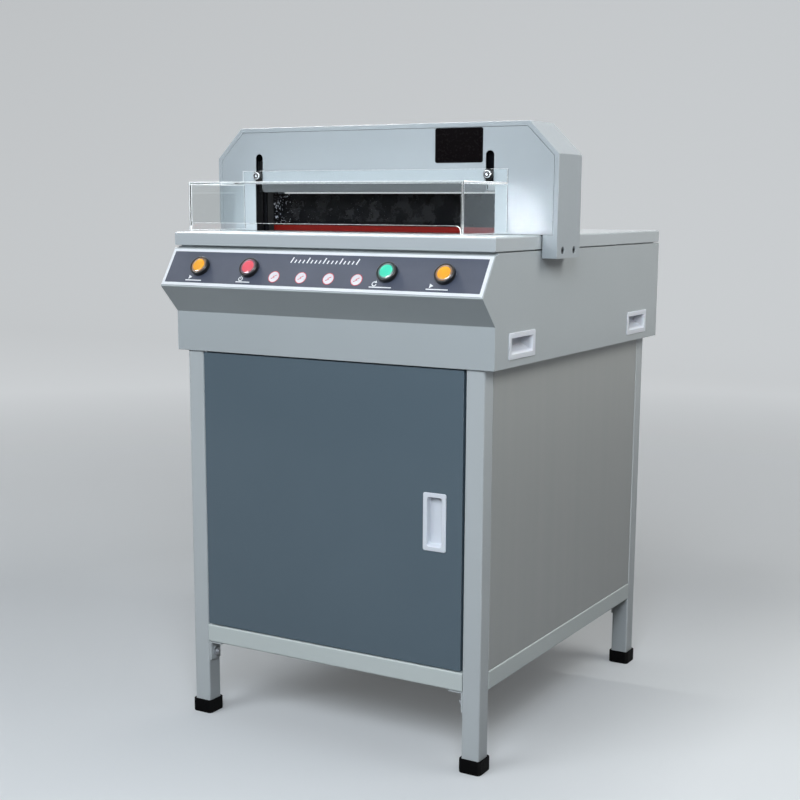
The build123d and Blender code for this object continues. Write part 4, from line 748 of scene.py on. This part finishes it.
# Sky and lamps: a faint even sky, a soft lamp on each side in front, one above and one at
# the right side, two narrow patches of daylight, and two strips for the bright fold lines.
world = bpy.data.worlds.new("even studio sky")
bpy.context.scene.world = world
world.use_nodes = True
tree = world.node_tree
sky = tree.nodes["Background"]
sky.inputs["Color"].default_value = linear("#F6F8FA")
seen = add(tree, "ShaderNodeLightPath")
# It lights the machine at 0.17; the camera sees it as pale as the paper, gloss as white.
plain = add(tree, "ShaderNodeMath", {0: seen.outputs["Is Camera Ray"], 1: 0.45, 2: 0.17},
            operation="MULTIPLY_ADD")
level = add(tree, "ShaderNodeMath", {0: seen.outputs["Is Glossy Ray"], 1: 0.73,
                                     2: plain.outputs[0]}, operation="MULTIPLY_ADD")
tree.links.new(level.outputs[0], sky.inputs["Strength"])


def soft_lamp(name, place, aim, size, watts, colour):
    """An area lamp, with its place, its aim and its size in metres."""
    light = bpy.data.lights.new(name, "AREA")
    light.shape = "RECTANGLE"
    light.size, light.size_y = size
    light.energy = watts
    light.color = linear(colour)[:3]
    lamp = bpy.data.objects.new(name, light)
    bpy.context.scene.collection.objects.link(lamp)
    lamp.location = place
    lamp.rotation_euler = (Vector(aim) - Vector(place)).to_track_quat("-Z", "Y").to_euler()
    lamp.visible_camera = False
    lamp.visible_transmission = False
    return lamp


def light_patch(name, place, aim, size, watts):
    # The clear guard throws a soft patch of daylight on the sheet beside each of its ends.
    patch = soft_lamp(name, place, aim, size, watts, "#FFFFFF")
    patch.data.spread = math.radians(5)
    patch.visible_glossy = False


def edge_strip(name, place, aim, size, watts):
    # Seen only in reflections: it draws the bright line along each fold and rounded edge.
    strip = soft_lamp(name, place, aim, size, watts, "#FFFFFF")
    strip.visible_diffuse = False
    return strip


def all_but(name, piece):
    """A collection that tells a lamp to leave one piece out."""
    collection = bpy.data.collections.new(name)
    collection.objects.link(piece)
    collection.collection_objects[0].light_linking.link_state = "EXCLUDE"
    return collection


front_lamps = [
    soft_lamp("left_softbox", (-1.6, -3.6, 2.6), (0, 0, 0.6), (2.4, 1.8), 65, "#F4FAFF"),
    soft_lamp("right_softbox", (1.2, -2.4, 2.1), (0, 0, 0.7), (1.2, 1.2), 46, "#EFF7FF"),
    soft_lamp("top_softbox", (0.2, 0.2, 3.6), (0, 0, 0.6), (2.4, 2.0), 10, "#FFFFFF")]
soft_lamp("side_softbox", (1.9, 0.4, 2.1), (0, 0, 0.6), (1.2, 1.2), 24, "#FFFEFA")
light_patch("right_patch", (0.62, -0.95, 1.02), (0.280, -0.17, 0.889), (0.05, 0.065), 0.014)
light_patch("left_patch", (-0.5, -0.95, 1.02), (-0.262, -0.17, 0.885), (0.03, 0.06), 0.010)
edge_strip("high_edge_strip", (-1.75, 1.2, 3.4), (0, 0, 0.8), (3.0, 0.8), 300)
side_strip = edge_strip("right_edge_strip", (3.2, -0.9, 0.8), (0, 0, 0.6), (0.7, 2.2), 160)
# The guard's flat side would mirror the whole side strip, so that strip passes it by.
side_strip.light_linking.receiver_collection = all_but("unlit_by_the_side_strip", guard)

# Black flag: a card in front to the left, seen only in reflections, so that the clear
# guard and the glossy faces mirror the dark side of a room. The cloth on it is fully matt.
black_cloth = new_finish("black flag cloth", Base_Color=linear("#050505"), Roughness=1.0)[0]


def upright_card(name, size, axis, place):
    """A black card, turned upright about an axis, with its size and place in metres."""
    shape = bmesh.new()
    verts = bmesh.ops.create_grid(shape, x_segments=2, y_segments=2, size=0.5)["verts"]
    bmesh.ops.scale(shape, vec=(*size, 1.0), verts=verts)
    bmesh.ops.rotate(shape, matrix=Matrix.Rotation(math.radians(90), 3, axis), verts=verts)
    bmesh.ops.translate(shape, vec=place, verts=verts)
    return studio_piece(name, shape, black_cloth)


flag = upright_card("studio_flag", (6.5, 1.7), "X", (-1.75, -3.3, 0.86))
flag.visible_camera = False
flag.visible_diffuse = False
flag.visible_shadow = False

# Side flag: a card hung to the right that shades the foot of the stand from the side lamp,
# so that its side darkens towards the floor. The other lamps' light passes it.
low_card = upright_card("studio_low_card", (0.52, 1.5), "Y", (0.75, 0.2, 0.66))
low_card.visible_camera = False
low_card.visible_diffuse = False
low_card.visible_glossy = False
low_card.visible_transmission = False
passed = all_but("passed_by_the_front_lamps", low_card)
for lamp in front_lamps:
    lamp.light_linking.blocker_collection = passed

# Camera: stands to the right in front, a little over the table, and looks slightly down.
# Its place, turn, lens and shift were fitted to the photograph.
camera_data = bpy.data.cameras.new("camera")
camera_data.lens = 62.49
camera_data.sensor_width = 36.0
camera_data.shift_x = 0.0154
camera_data.shift_y = 0.0686
camera = bpy.data.objects.new("camera", camera_data)
bpy.context.scene.collection.objects.link(camera)
camera_place = (1.2353, -2.2121, 0.9079)
yaw, pitch, roll = (math.radians(angle) for angle in (30.69, 10.30, 0.205))
camera.matrix_world = (Matrix.Translation(camera_place)
                       @ Matrix.Rotation(yaw, 4, "Z")
                       @ Matrix.Rotation(math.radians(90) - pitch, 4, "X")
                       @ Matrix.Rotation(roll, 4, "Z"))
bpy.context.scene.camera = camera
bpy.context.scene.view_settings.view_transform = "Standard"
